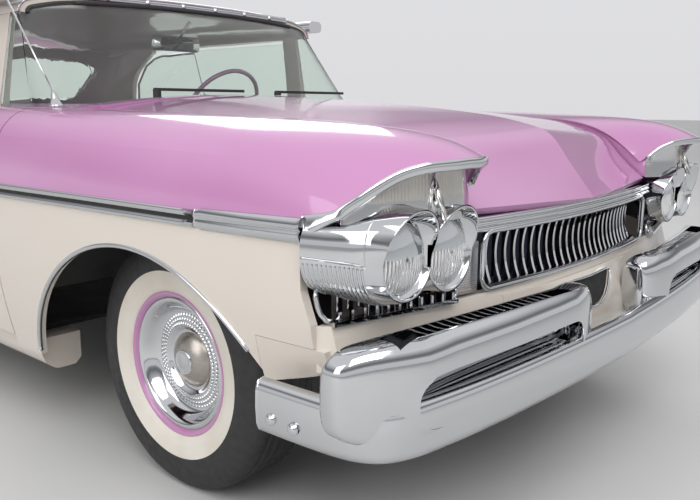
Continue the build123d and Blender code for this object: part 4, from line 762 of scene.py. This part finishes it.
LENS_FROM_Y, LENS_TO_Y, POST_Y = 636, 905, 747
HOLLOW_FOOT_Z, HOLLOW_LEDGE_Z, HOLLOW_DEEP_Y, HOLLOW_DEPTH, HOLLOW_HALF_WIDTH = 796, 842, 715, 56, 190
FIN_OUTLINE = [(2544, 896), (2558, 876), (2570, 848), (2579, 822), (2583, 796), (2562, 813), (2548, 842),
               (2543, 868)]
FIN_MIDDLE_X, FIN_MIDDLE_Z, FIN_HALF = 2560, 845, 5
lip, top, ledge, foot = [], [], [], []
for (x, y, z), out in zip(brow_path, brow_outs):
    if y <= BROW_CORNER_Y:
        set_back = 9 + HOLLOW_DEPTH * max(0.0, 1 - (abs(y - HOLLOW_DEEP_Y) / HOLLOW_HALF_WIDTH) ** 1.6)
        back_x, back_y = x - out.x * set_back, y - out.y * set_back
        lip.append((x - out.x * 3, y - out.y * 3, z - 6))
        top.append((back_x, back_y, z - 3))
        ledge.append((back_x + 3, back_y, min(HOLLOW_LEDGE_Z, z - 8)))
        foot.append((back_x + 3, back_y, min(HOLLOW_FOOT_Z, z - 30)))
hollow_ys = [y for _, y, _ in brow_path if y <= BROW_CORNER_Y]
kinds = [int(LENS_FROM_Y < (y + after) / 2 < LENS_TO_Y) for y, after in zip(hollow_ys, hollow_ys[1:])]
plain = [0] * len(kinds)
twins("brow_hollow", (lip + top + ledge + foot, grid_faces(4, len(lip))), [CHROME, TURN_LENS],
      kinds=plain + kinds + plain)
points = [(x, POST_Y, z) for x, z in FIN_OUTLINE]
points += [(FIN_MIDDLE_X, POST_Y + FIN_HALF, FIN_MIDDLE_Z), (FIN_MIDDLE_X, POST_Y - FIN_HALF, FIN_MIDDLE_Z)]
faces = [f for k in range(8) for f in ((k, (k + 1) % 8, 8), ((k + 1) % 8, k, 9))]
post = tube([(2546, POST_Y + 2, 822), (2543, POST_Y + 2, 850), (2547, POST_Y + 2, 908)], 6, 10, flat=0.8)
twins("brow_fin", joined((points, faces), post), [REFLECTOR])


# Grille: a stepped header under the hood, a rounded frame round the bars and ribbed end panels

HEADER_YS, HEADER_Z, HEADER_BOW = range(-575, 576, 25), 759, 1800
HEADER_PROFILE = [(-16, -17), (-2, -18), (4, -15), (5, -9), (1, -7), (1, -5), (6, -3), (7, 2), (2, 5), (2, 7),
                  (7, 9), (8, 13), (4, 17), (-16, 17)]
FRAME_END_Y, FRAME_LOW_Z, FRAME_TOP_Z, FRAME_CORNER = 498, 604, 742, 34
PANEL_YS, PANEL_ZS = (502, 530, 560, 588), range(602, 746, 24)
LOW_BARS, LOW_BAR_STEP, LOW_LONG_BARS = 12, 26, 5


def grille_front(y):
    """Station of the bars' front across the car."""
    return 2550 - 43 * (y / 560) ** 2


def low_front(y):
    """Station of the low grille's front across the car."""
    return 2503 - (y - 598) * 0.229


add_piece("grille_header", sweep([(grille_front(y) - 4, y, HEADER_Z) for y in HEADER_YS],
                                 [(1, y / HEADER_BOW, 0) for y in HEADER_YS], HEADER_PROFILE), [CHROME])
outline = rounded_outline(-FRAME_END_Y, FRAME_END_Y, FRAME_LOW_Z, FRAME_TOP_Z, FRAME_CORNER, 6)
straight = [(FRAME_END_Y - FRAME_CORNER) * (1 - k / 6) for k in range(1, 12)]
outline = (outline[:7] + [(y, FRAME_TOP_Z) for y in straight] + outline[7:21]
           + [(-y, FRAME_LOW_Z) for y in straight] + outline[21:])
frame_path = [(grille_front(y) + 1, y, z) for y, z in outline]
add_piece("grille_frame", tube(frame_path, 6, 10, closed=True), [CHROME])
points = [(grille_front(y) - 10, y, z) for z in PANEL_ZS for y in PANEL_YS]
for made in twins("grille_end_panel", (points, flipped(grid_faces(len(PANEL_ZS), len(PANEL_YS)))), [RIBBED]):
    made.modifiers.new("thick", "SOLIDIFY").thickness = 2 * MM

# The low grille under the lamps: its bright frame and its bars
low_path = [(2500, 590, 634), (2505, 585, 612), (2503, 596, 602)]
low_path += [(low_front(y), y, 601) for y in range(640, 920, 40)]
low_path += [(2431, 914, 601), (2422, 927, 606), (2414, 934, 618), (2408, 937, 634), (2404, 938, 652),
             (2402, 936, 668)]
twins("low_grille_frame", tube(low_path, 5.5, 10), [CHROME])
low_bars = []
for k in range(LOW_BARS):
    y = 902 - k * LOW_BAR_STEP
    x = low_front(y)
    low_bars.append(((x - 18, y - 2, 602), (x - 3, y + 2, 672 if k < LOW_LONG_BARS else 645)))
twins("low_grille_bars", boxes(low_bars), [CHROME], bevel=0.8, flat=True)


# Front bumper: a crowned bar with sharp upper edge, and two rounded pods with a slot and a toothed trough

BAR_SPINE = [(2700, 0), (2694, 240), (2682, 480), (2664, 700), (2648, 820), (2634, 900), (2606, 962),
             (2560, 994), (2500, 1006), (2420, 1011), (2305, 1014)]
BAR_PROFILE = [(-30, -50), (-22, -57), (-8, -54), (-2, -38), (0, 0), (-1, 30), (-4, 46), (-9, 53), (-24, 57),
               (-32, 52)]
BAR_MIDDLE_Z = 422.5
POD_TABLE = [(192, 2572, 2656, 430, 588), (230, 2578, 2674, 408, 595), (290, 2584, 2686, 398, 598),
             (340, 2590, 2690, 395, 599), (600, 2560, 2677, 392, 600),
             (880, 2520, 2648, 392, 600), (1018, 2478, 2566, 400, 584)]
POD_IN_Y, POD_OUT_Y = 192, 1027
POD_YS = [POD_IN_Y, 194, 198, 205, 215, 232, 260, 290, 340, 420, 500, 600, 700, 800, 880, 930, 957, 975,
          990, 1002, 1012, 1019, 1024, POD_OUT_Y]
POD_OUT_ROUND, POD_OUT_SHRINK, POD_IN_ROUND, POD_IN_SHRINK = 70, 44, 40, 22
POD_SQUARENESS, POD_RING = 0.55, 56
SLOT_Y, SLOT_Z, SLOT_ROUND, SLOT_BACK_X, SLOT_OPEN_X = (300, 900), (417, 531), 52, (2638, 2598), 2760
TROUGH_Y, TROUGH_REAR_X, TROUGH_FRONT_X = (330, 925), (2634, 2552), (2664, 2606)
TROUGH_Z, TROUGH_OPEN_Z = 556, 640
POD_TEETH, TEETH_Y, TEETH_TOP_Z, TOOTH_HALF = 18, (366, 830), 588, 2.5
BOLT_PLACES, BOLT_Y = ((2349, 404), (2412, 402)), 1013
BOLT_PROFILE = [(-2, 13), (3, 12.5), (6.5, 9), (8, 5), (8.5, 0.4)]


def between(ends, share):
    """A measure part of the way from one end to the other."""
    return ends[0] + (ends[1] - ends[0]) * share


def soft_corners(path):
    """A path with its corners cut twice."""
    for _ in range(2):
        cut = [path[0]]
        for (x0, y0), (x1, y1) in zip(path, path[1:]):
            cut += [(between((x0, x1), share), between((y0, y1), share)) for share in (0.25, 0.75)]
        path = cut + [path[-1]]
    return path


def end_round(distance, reach):
    """How far an end has closed, 0 at the reach and 1 at the tip."""
    return 1 - sqrt(max(0, 1 - (distance / reach) ** 2))


def pod_section(y):
    """Rear, front, low and high edges of the pod at a place across the car."""
    for before, after in zip(POD_TABLE, POD_TABLE[1:]):
        if y <= after[0] or after is POD_TABLE[-1]:
            share = (y - before[0]) / (after[0] - before[0])
            return [between(ends, share) for ends in zip(before[1:], after[1:])]


def pod_shape():
    """The pod's closed shell: rings of a squared oval, drawn in at both ends."""
    points = []
    for y in POD_YS:
        rear, front, low, high = pod_section(y)
        shrink = 0
        if y > POD_OUT_Y - POD_OUT_ROUND:
            shrink = POD_OUT_SHRINK * end_round(y - POD_OUT_Y + POD_OUT_ROUND, POD_OUT_ROUND)
        if y < POD_IN_Y + POD_IN_ROUND:
            shrink = POD_IN_SHRINK * end_round(POD_IN_Y + POD_IN_ROUND - y, POD_IN_ROUND)
        half_x, half_z = max((front - rear) / 2 - shrink * 0.6, 4), max((high - low) / 2 - shrink, 6)
        for turn in turns(POD_RING):
            out_x, out_z = [abs(c) ** POD_SQUARENESS * (1 if c > 0 else -1) for c in (cos(turn), sin(turn))]
            points.append(((rear + front) / 2 + half_x * out_x, y, (low + high) / 2 + half_z * out_z))
    return points, capped(len(POD_YS), POD_RING)


def slot_back(y):
    """Station of the slot's back wall."""
    return between(SLOT_BACK_X, (y - SLOT_Y[0]) / (SLOT_Y[1] - SLOT_Y[0]))


half = soft_corners(BAR_SPINE)
plan = half[::-1] + [(x, -y) for x, y in half[1:]]
outs = []
for i in range(len(plan)):
    (x0, y0), (x1, y1) = neighbours(plan, i)
    outs.append((y0 - y1, x1 - x0, 0))
bar = add_piece("bumper_bar", sweep([(x, y, BAR_MIDDLE_Z) for x, y in plan], outs, BAR_PROFILE), [CHROME])
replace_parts(bar, "front_bumper")

outline = rounded_outline(*SLOT_Y, *SLOT_Z, SLOT_ROUND)
slot = ([(slot_back(y), y, z) for y, z in outline] + [(SLOT_OPEN_X, y, z) for y, z in outline],
        capped(2, len(outline)))
trough_plan = list(zip(TROUGH_REAR_X + TROUGH_FRONT_X, TROUGH_Y * 2))
trough_plan = [trough_plan[i] for i in (0, 2, 3, 1)]
trough = ([(x, y, z) for z in (TROUGH_Z, TROUGH_OPEN_Z) for x, y in trough_plan], capped(2, 4))
for pod, (_, side) in zip(twins("bumper_pod", pod_shape(), [CHROME]), SIDES):
    cut_out(pod, side, slot, trough)

teeth = []
for k in range(POD_TEETH):
    y = between(TEETH_Y, (k + 0.5) / POD_TEETH)
    share = (y - TROUGH_Y[0]) / (TROUGH_Y[1] - TROUGH_Y[0])
    rear_x, front_x = between(TROUGH_REAR_X, share), between(TROUGH_FRONT_X, share)
    teeth.append(((rear_x - 2, y - TOOTH_HALF, TROUGH_Z - 2), (front_x + 2, y + TOOTH_HALF, TEETH_TOP_Z)))
twins("bumper_teeth", boxes(teeth), [CHROME], bevel=0.8, flat=True)
ledge_ys = [SLOT_Y[0] + 12 + 23.5 * k for k in range(25)]
ledge = sweep([(slot_back(y) + 4, y, 462) for y in ledge_ys], [(1, 0, 0)] * 25,
              [(-8, -5), (16, -6), (24, -2), (22, 4), (-8, 5)])
# A near-black strip under the ledge: painted shade in the slot's slit
groove = sweep([(slot_back(y) + 2, y, 446) for y in ledge_ys], [(1, 0, 0)] * 25,
               [(-4, -8), (3, -8), (3, 8), (-4, 8)])
shape, kinds = coloured((ledge, 0), (groove, 1))
twins("slot_ledge", shape, [CHROME, PAINTED_SHADE_BLACK], kinds=kinds)
bolts = [lathe(x, BOLT_Y, z, BOLT_PROFILE, 24, closed=False) for x, z in BOLT_PLACES]
twins("bumper_bolts", joined(*bolts), [CHROME])


# Nose panel between the pods: a raised apron down behind the bar, with an opening cut through it, filled by a
# near-black dish of painted shade

NOSE_HALF, NOSE_RAISE, NOSE_STEP, NOSE_THICK, NOSE_FADE = 420, 9, 40, 7, 200
NOSE_ROWS = ((582, 2550), (560, 2556.5), (530, 2566), (500, 2575), (470, 2581), (440, 2584), (412, 2585),
             (388, 2582))
NOSE_HOLE = [(142, 565), (100, 567), (50, 565), (0, 564), (-50, 565), (-100, 567), (-142, 565), (-126, 545),
             (-102, 520), (-72, 499), (-38, 486), (0, 482), (38, 486), (72, 499), (102, 520), (126, 545)]
NOSE_HOLE_MIDDLE_Z = 530


def nose_front(y, z, lift):
    """Station of the nose panel at a place, lifted off the valance; the lift fades towards the sides."""
    for (z0, x0), (z1, x1) in zip(NOSE_ROWS, NOSE_ROWS[1:]):
        if z >= z1 or z1 == NOSE_ROWS[-1][0]:
            x = x0 + (x1 - x0) * (z - z0) / (z1 - z0)
            break
    fade = 1 - min(1.0, max(0.0, (abs(y) - NOSE_FADE) / NOSE_FADE))
    return x - y * y / 8082 + 1.2 + lift * fade


nose_ys, count = range(-NOSE_HALF, NOSE_HALF + 1, NOSE_STEP), len(NOSE_HOLE)
points = [(nose_front(y, z, NOSE_RAISE), y, z) for z, _ in NOSE_ROWS for y in nose_ys]
apron = add_piece("nose_apron", (points, flipped(grid_faces(len(NOSE_ROWS), len(nose_ys)))), [PAINT_CREAM])
apron.modifiers.new("thick", "SOLIDIFY").thickness = NOSE_THICK * MM
cut_out(apron, 1, ([(x, y, z) for x in (2500, 2700) for y, z in NOSE_HOLE], capped(2, count)))
# Painted shade: a near-black dish set in the opening, standing for the shade behind it
points = []
for share in (1.03, 0.7, 0.35, 0.02):
    ring = [(y * share, NOSE_HOLE_MIDDLE_Z + (z - NOSE_HOLE_MIDDLE_Z) * share) for y, z in NOSE_HOLE]
    points += [(nose_front(y, z, 1.0), y, z) for y, z in ring]
faces = grid_faces(4, count, close_columns=True) + [tuple(range(3 * count, 4 * count))]
add_piece("nose_opening", (points, faces), [PAINTED_SHADE_BLACK])
rim_path = [(nose_front(y, z, NOSE_RAISE), y, z) for y, z in NOSE_HOLE]
add_piece("nose_opening_rim", tube(rim_path, 3.5, 8, closed=True), [CHROME])


# Bright rails along the roof's edges and round the rear windows, and a black surround round the windshield,
# found from the CAD's sharp edges

def chain_length(chain):
    """Length of a list of places."""
    return sum((b - a).length for a, b in zip(chain, chain[1:]))


def edge_chains(name, sharp=50):
    """The sharp edges of a CAD node, joined end to end into lists of places, longest first."""
    mesh = NODES[name].data
    places, numbers, ways = [], {}, {}
    for f in mesh.polygons:
        ids = []
        for i in f.vertices:
            key = tuple(round(c / MM, 1) for c in mesh.vertices[i].co)
            if key not in numbers:
                numbers[key] = len(places)
                places.append(Vector(key))
            ids.append(numbers[key])
        for a, b in zip(ids, ids[1:] + ids[:1]):
            if a != b:
                ways.setdefault((min(a, b), max(a, b)), []).append(f.normal.copy())
    near = {}
    for (a, b), normals in ways.items():
        if len(normals) == 2 and normals[0].angle(normals[1], 0) > radians(sharp):
            near.setdefault(a, set()).add(b)
            near.setdefault(b, set()).add(a)
    chains, used = [], set()
    for start in sorted(near, key=lambda n: len(near[n]) == 2):
        for first in sorted(near[start]):
            if frozenset((start, first)) in used:
                continue
            chain = [start, first]
            used.add(frozenset(chain))
            while len(near[chain[-1]]) == 2:
                ahead = next(n for n in near[chain[-1]] if n != chain[-2])
                if frozenset((chain[-1], ahead)) in used:
                    break
                used.add(frozenset((chain[-1], ahead)))
                chain.append(ahead)
            chains.append([places[n] for n in chain])
    return sorted(chains, key=chain_length, reverse=True)


# The windshield surround is black rubber, and its black also stands for the shade on the pillars and under the
# header: partly painted shade
EDGE_TRIMS = (("windshield_surround", "windshield", 9, 8, 500, RUBBER),
              ("rear_windows_surround", "rear_windows", 6, 8, 500, CHROME),
              ("roof_rails", "roof", 5, 6, 700, CHROME))
CLOSED_UNDER = 30
for name, node_name, radius, count, least, finish in EDGE_TRIMS:
    bars = []
    for chain in edge_chains(node_name)[:count]:
        if chain_length(chain) > least:
            round_glass = name != "roof_rails" and (chain[0] - chain[-1]).length < CLOSED_UNDER
            bars.append(tube(chain, radius, 8, closed=round_glass))
    add_piece(name, joined(*bars), [finish])


# Interior: padded benches, steering wheel, dials, mirror and door fittings

PAD_VOXEL, PAD_PRESSURE, PAD_FRAMES, PAD_SWELL, PAD_SHARE = 0.016, 4.0, 20, 0.014, 0.6
CHANNEL_STEP, CHANNEL_DEPTH, CHANNEL_HALF, PAD_BORDER = 115, 9, 16, 60
BENCH_PADS = (
    ("front_cushion", 676, "front_seat",
     [(-165, 476), (-165, 588), (-60, 600), (250, 624), (305, 612), (316, 560), (306, 500)]),
    ("front_backrest", 676, None,
     [(-316, 470), (-190, 470), (-190, 596), (-112, 612), (-196, 985), (-225, 998), (-285, 996)]),
    ("rear_cushion", 584, "rear_seat",
     [(-880, 520), (-800, 484), (-450, 484), (-422, 540), (-424, 586), (-620, 600), (-850, 600)]),
    ("rear_backrest", 584, None, [(-900, 545), (-868, 620), (-975, 962), (-1000, 968), (-1040, 962)]),
)


def blown_up(pad):
    """Places of a pad's points when it is blown up as cloth."""
    cloth = pad.modifiers.new("cloth", "CLOTH")
    cloth.settings.use_pressure = True
    cloth.settings.uniform_pressure_force = PAD_PRESSURE
    cloth.settings.effector_weights.gravity = 0
    cloth.collision_settings.use_collision = False
    cloth.point_cache.frame_start, cloth.point_cache.frame_end = 1, PAD_FRAMES
    for step in range(1, PAD_FRAMES + 1):
        bpy.context.scene.frame_set(step)
    graph = bpy.context.evaluated_depsgraph_get()
    blown = [v.co.copy() for v in pad.evaluated_get(graph).data.vertices]
    pad.modifiers.clear()
    bpy.context.scene.frame_set(1)
    return blown


def bench_pad(name, half, replaced, outline):
    """A stuffed bench pad: a prism across the car, blown up as cloth, with sewn channels."""
    points = [(x, y, z) for y in (-half, half) for x, z in outline]
    pad = add_piece(name, (points, flipped(capped(2, len(outline)))), [SEAT_CLOTH, SEAT_VINYL])
    even = pad.modifiers.new("even", "REMESH")
    even.mode, even.voxel_size = "VOXEL", PAD_VOXEL
    apply_modifiers(pad)
    rest = [v.co.copy() for v in pad.data.vertices]
    blown = blown_up(pad)
    for v, start, end in zip(pad.data.vertices, rest, blown):
        move = end - start
        if move.length > PAD_SWELL:
            move = move.normalized() * PAD_SWELL
        across = abs(start.y) / MM
        seam = abs((across + CHANNEL_STEP / 2) % CHANNEL_STEP - CHANNEL_STEP / 2)
        sink = CHANNEL_DEPTH * MM * max(0.0, 1 - seam / CHANNEL_HALF) if across < half - PAD_BORDER else 0
        v.co = start + move * PAD_SHARE - v.normal * sink
    polygons = pad.data.polygons
    polygons.foreach_set("use_smooth", [True] * len(polygons))
    ends = [int(abs(f.center.y) / MM > half - PAD_BORDER - 6) for f in polygons]
    polygons.foreach_set("material_index", ends)
    if replaced:
        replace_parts(pad, replaced)


for pad_row in BENCH_PADS:
    bench_pad(*pad_row)
legs = [((x, y - 30, 340), (x + 50, y + 30, 440)) for x in (-125, 235) for y in (-500, 500)]
add_piece("front_seat_base", boxes([((-150, -660, 436), (300, 660, 480))] + legs), [UNDERBODY], bevel=4)
trim_path = [(300, 683, 500), (-150, 683, 500), (-300, 683, 520), (-290, 683, 700)]
twins("seat_side_trim", tube(trim_path, 5, 8, flat=0.5), [CHROME])

WHEEL_HUB = sum(box("steering_wheel"), Vector()) / 2
WHEEL_WAY, WHEEL_DOWN = Vector((0.848, 0, -0.53)), Vector((-0.53, 0, -0.848))
WHEEL_SIZE, HORN_SIZE = 197, 128
HUB_PROFILE = ((-40, 34), (0, 38), (14, 40), (22, 34), (26, 18), (28, 0.5))


def wheel_place(radius, turn, lift=0.0):
    """Place on the steering wheel's face; turn 0 points to the car's left, 90 up."""
    on_face = Vector((0, 1, 0)) * (radius * cos(turn)) - WHEEL_DOWN * (radius * sin(turn))
    return WHEEL_HUB + on_face - WHEEL_WAY * lift


rim = tube([wheel_place(WHEEL_SIZE, turn) for turn in turns(64)], 10, 10, closed=True)
spokes = [tube([wheel_place(30, turn, 2), wheel_place(110, turn, 8), wheel_place(192, turn)], 8, 8, flat=0.6)
          for turn in (radians(8), radians(172), radians(270))]
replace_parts(add_piece("steering_rim", joined(rim, *spokes), [RIM_PAINT], "steering_wheel"), "steering_wheel")
horn = tube([wheel_place(HORN_SIZE, radians(195 + 5 * k), 16) for k in range(31)], 4, 8)
struts = [tube([wheel_place(40, turn, 14), wheel_place(HORN_SIZE, turn, 16)], 4, 8)
          for turn in (radians(200), radians(340))]
hub = ([tuple(wheel_place(r, turn, lift)) for lift, r in HUB_PROFILE for turn in turns(40)],
       grid_faces(len(HUB_PROFILE), 40, close_columns=True))
add_piece("horn_ring", joined(horn, *struts, hub), [CHROME], "steering_wheel")

DASH, DASH_TRIM_Z, DASH_END_X = surface("dashboard"), 985, 800
DIALS = ((250, 925, 34), (370, 930, 52), (490, 925, 34))
DASH_KNOBS = ((170, 870), (120, 870), (70, 870), (-70, 870), (-120, 870), (560, 870))
KNOB_PROFILE = ((1, 8), (-12, 8), (-16, 12), (-24, 12), (-27, 8), (-28, 0.5))


def dash_rear(y, z):
    """Station of the dashboard's face towards the seats."""
    hit = DASH.ray_cast(Vector((0, y * MM, z * MM)), FORWARD)[0]
    return hit.x / MM if hit else DASH_END_X


trim, dial_faces = [], []
for y, z, size in DIALS:
    bezel = ((2, size + 6), (-10, size + 6), (-14, size + 2), (-10, size - 2), (-4, size - 2))
    trim.append(discs(dash_rear(y, z), y, z, bezel, 40))
    dial_faces.append(discs(dash_rear(y, z), y, z, ((-5, size - 2), (-6, size * 0.5), (-5, 0.5)), 40))
trim += [discs(dash_rear(y, z), y, z, KNOB_PROFILE, 20) for y, z in DASH_KNOBS]
strip_path = [(dash_rear(y, DASH_TRIM_Z) - 3, y, DASH_TRIM_Z) for y in range(-700, 701, 50)]
add_piece("dash_trim", joined(*trim, tube(strip_path, 5, 8, flat=0.6)), [CHROME])
add_piece("dial_faces", joined(*dial_faces), [DIAL])

MIRROR_X, MIRROR_Z, MIRROR_HALF, MIRROR_TALL = 716, 1273, 118, 31
outline = rounded_outline(-MIRROR_HALF, MIRROR_HALF, -MIRROR_TALL, MIRROR_TALL, 20, 5)
points = [(MIRROR_X + dx, y * f, MIRROR_Z + z * f) for dx, f in ((-4, 0.9), (-4, 1), (6, 1), (12, 0.7))
          for y, z in outline]
faces = capped(4, len(outline), turned=True)
add_piece("mirror_shell", (points, faces), [CHROME, MIRROR], kinds=[0] * (len(faces) - 2) + [1, 0])
add_piece("mirror_stem", tube([(728, 0, 1275), (760, 0, 1310), (812, 0, 1352)], 6, 8), [CHROME])

crank = [tube([(420, 776, 640), (420, 752, 640)], 9, 12),
         tube([(420, 752, 640), (335, 746, 600)], 6, 8, flat=0.6),
         tube([(335, 750, 600), (335, 722, 600)], 9, 12)]
handle = [tube([(620, 776, 720), (620, 752, 720)], 9, 12),
          tube([(620, 752, 720), (520, 746, 712)], 7, 8, flat=0.6)]
strips = [tube([(1050, 777, z), (300, 777, z), (-20, 777, z)], 4, 8) for z in (820, 560)]
twins("door_fittings", joined(*crank, *handle, *strips), [CHROME], "door")
twins("armrest", boxes([((80, 735, 640), (400, 777, 690))]), [SEAT_VINYL], "door", bevel=14)


# Outside fittings: door handles, header strip, tail-lamp bezels, antenna, trunk handle, exhaust tip

HANDLE_Z = 872
y = side_point(60, HANDLE_Z)[0][1]
grip = tube([(-30, y + 2, HANDLE_Z - 2), (-10, y + 14, HANDLE_Z), (60, y + 16, HANDLE_Z),
             (130, y + 14, HANDLE_Z), (152, y + 2, HANDLE_Z - 2)], 7, 10)
button = lathe(150, y + 2, HANDLE_Z, [(0, 16), (8, 15), (11, 10), (12, 0.4)], 24, closed=False)
pad = lathe(-28, y - 2, HANDLE_Z, [(0, 17), (5, 15), (8, 8), (8, 0.4)], 24, closed=False)
twins("door_handle", joined(grip, button, pad), [CHROME], "door")

ROOF, STRIP_Z = surface("roof"), 1402
strip, screws = [], []
for y in range(-560, 561, 40):
    hit = ROOF.ray_cast(Vector((FAR, y * MM, STRIP_Z * MM)), REARWARD)[0]
    if hit:
        strip.append((hit.x / MM, y, STRIP_Z))
        if y % 160 == 80:
            screws.append(discs(*strip[-1], [(3, 9), (8, 8), (10, 0.4)]))
STRIP_PROFILE = [(-3, -13), (3, -12), (5, 0), (3, 12), (-3, 13)]
add_piece("header_strip", sweep(strip, [(1, 0, 0.2)] * len(strip), STRIP_PROFILE), [CHROME])
points, faces = joined(*screws)
add_piece("header_screws", (points, flipped(faces)), [REFLECTOR])

TAIL_X, TAIL_Y, TAIL_Z, TAIL_HALF_Y, TAIL_HALF_Z = -2642, 880, 700, 45, 120
ring = tube([(TAIL_X, TAIL_Y + (TAIL_HALF_Y + 4) * cos(turn), TAIL_Z + (TAIL_HALF_Z + 4) * sin(turn))
             for turn in turns(48)], 7, 8, closed=True)
cross = tube([(TAIL_X - 3, TAIL_Y - TAIL_HALF_Y, TAIL_Z), (TAIL_X - 3, TAIL_Y + TAIL_HALF_Y, TAIL_Z)], 5, 8)
twins("tail_lamp_bezel", joined(ring, cross), [CHROME])

AERIAL_LOW, AERIAL_HIGH = box("antenna")
AERIAL_FOOT = ((0, 21.5), (7, 21.5), (12, 17), (30, 11), (44, 8), (50, 5))
foot_x, foot_y = AERIAL_HIGH.x - 22, AERIAL_LOW.y + 22
points = [(foot_x - rise * 0.35 + r * cos(turn), foot_y + r * sin(turn), AERIAL_LOW.z + rise)
          for rise, r in AERIAL_FOOT for turn in turns(28)]
faces = grid_faces(len(AERIAL_FOOT), 28, close_columns=True) + [tuple(reversed(range(28)))]
start = Vector((foot_x - 12, foot_y, AERIAL_LOW.z + 38))
tip = Vector((AERIAL_LOW.x + 5, foot_y, AERIAL_HIGH.z - 5))
mast = tube([start.lerp(tip, share) for share in (0, 0.5, 0.99, 1)], 3.2, 10)
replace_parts(add_piece("antenna_mast", joined((points, faces), mast), [CHROME]), "antenna")

LID = surface("trunk_lid")
lid_low = box("trunk_lid")[0]
handle_z, handle = lid_low.z + 62, []
for y, rise in ((-78, 2), (-70, 15), (0, 19), (70, 15), (78, 2)):
    hit = LID.ray_cast(Vector((-4, y * MM, handle_z * MM)), FORWARD)[0]
    handle.append(((hit.x / MM if hit else lid_low.x) - rise, y, handle_z))
lock = discs(handle[2][0] + 19, 0, handle_z - 34, [(3, 15), (-4, 15), (-8, 11), (-9, 0.4)])
add_piece("trunk_handle", joined(tube(handle, 8, 12, flat=0.7), lock), [CHROME], "trunk_lid")
EXHAUST_TIP = [(-2470, 26), (-2562, 26), (-2566, 24), (-2562, 21), (-2480, 21)]
add_piece("exhaust_tip", discs(0, 260, 214, EXHAUST_TIP, 32), [CHROME])


# Stage: a pale floor, a pale sky and soft lamps

FLOOR_TONE, FLOOR_REACH = (0.60, 0.60, 0.59), 60
SKY_STOPS = ((0.0, 0.80), (0.15, 0.82), (0.21, 0.34), (0.30, 0.22), (0.42, 0.5), (0.62, 0.95), (1.0, 0.9))
floor_mesh = bpy.data.meshes.new("floor")
corners = [(x * FLOOR_REACH, y * FLOOR_REACH, 0) for x, y in ((-1, -1), (1, -1), (1, 1), (-1, 1))]
floor_mesh.from_pydata(corners, [], [(0, 1, 2, 3)])
floor_paint = material("floor_paint", "floor", FLOOR_TONE, 0.6, tones=(FLOOR_TONE, (0.58, 0.58, 0.57), 0.8))
floor_mesh.materials.append(floor_paint)
floor = bpy.data.objects.new("floor", floor_mesh)
bpy.context.scene.collection.objects.link(floor)

world = bpy.data.worlds.new("studio")
bpy.context.scene.world = world
world.use_nodes = True
nodes, links = world.node_tree.nodes, world.node_tree.links
way, parts, sky = new_nodes(world, "TexCoord", "SeparateXYZ", "ValToRGB")
stops = sky.color_ramp.elements
stops[0].position, stops[1].position = SKY_STOPS[0][0], SKY_STOPS[-1][0]
for position, _ in SKY_STOPS[1:-1]:
    stops.new(position)
for stop, (position, tone) in zip(stops, SKY_STOPS):
    stop.position, stop.color = position, (tone, tone, tone * 1.03, 1)
links.new(way.outputs["Generated"], parts.inputs["Vector"])
links.new(parts.outputs["Z"], sky.inputs["Fac"])
links.new(sky.outputs["Color"], nodes["Background"].inputs["Color"])
set_values(nodes["Background"], Strength=0.9)


def soft_lamp(name, place, aim, power, size=5.0):
    """A large area lamp, in metres and watts."""
    light = bpy.data.lights.new(name, "AREA")
    light.size, light.energy = size, power
    lamp = bpy.data.objects.new(name, light)
    bpy.context.scene.collection.objects.link(lamp)
    lamp.location = place
    lamp.rotation_euler = (Vector(aim) - Vector(place)).to_track_quat("-Z", "Y").to_euler()


soft_lamp("key_lamp", (5.5, -3.5, 6.0), (0.8, 0, 0.5), 300)
soft_lamp("fill_lamp", (1.0, -8.0, 4.0), (0.5, 0, 0.6), 170)
soft_lamp("back_lamp", (-5.0, 5.0, 6.0), (0, 0, 0.6), 220)


# Camera at the photograph's place

CAMERA_PLACE = Vector((3.4081, -1.9957, 1.0267))
CAMERA_YAW, CAMERA_PITCH, CAMERA_ROLL = radians(49.1515), radians(10.8066), radians(0.2649)
ahead = Vector((-cos(CAMERA_YAW), sin(CAMERA_YAW), 0)) * cos(CAMERA_PITCH) - Vector((0, 0, sin(CAMERA_PITCH)))
level = ahead.cross(Vector((0, 0, 1))).normalized()
upright = level.cross(ahead)
right_way = level * cos(CAMERA_ROLL) + upright * sin(CAMERA_ROLL)
up_way = upright * cos(CAMERA_ROLL) - level * sin(CAMERA_ROLL)
lens = bpy.data.cameras.new("camera")
lens.lens, lens.sensor_width, lens.clip_start = 39.03, 36, 0.05
camera = bpy.data.objects.new("camera", lens)
bpy.context.scene.collection.objects.link(camera)
turned = Matrix((right_way, up_way, -ahead)).transposed().to_4x4()
camera.matrix_world = Matrix.Translation(CAMERA_PLACE) @ turned
bpy.context.scene.camera = camera
bpy.context.scene.view_settings.view_transform = "Standard"
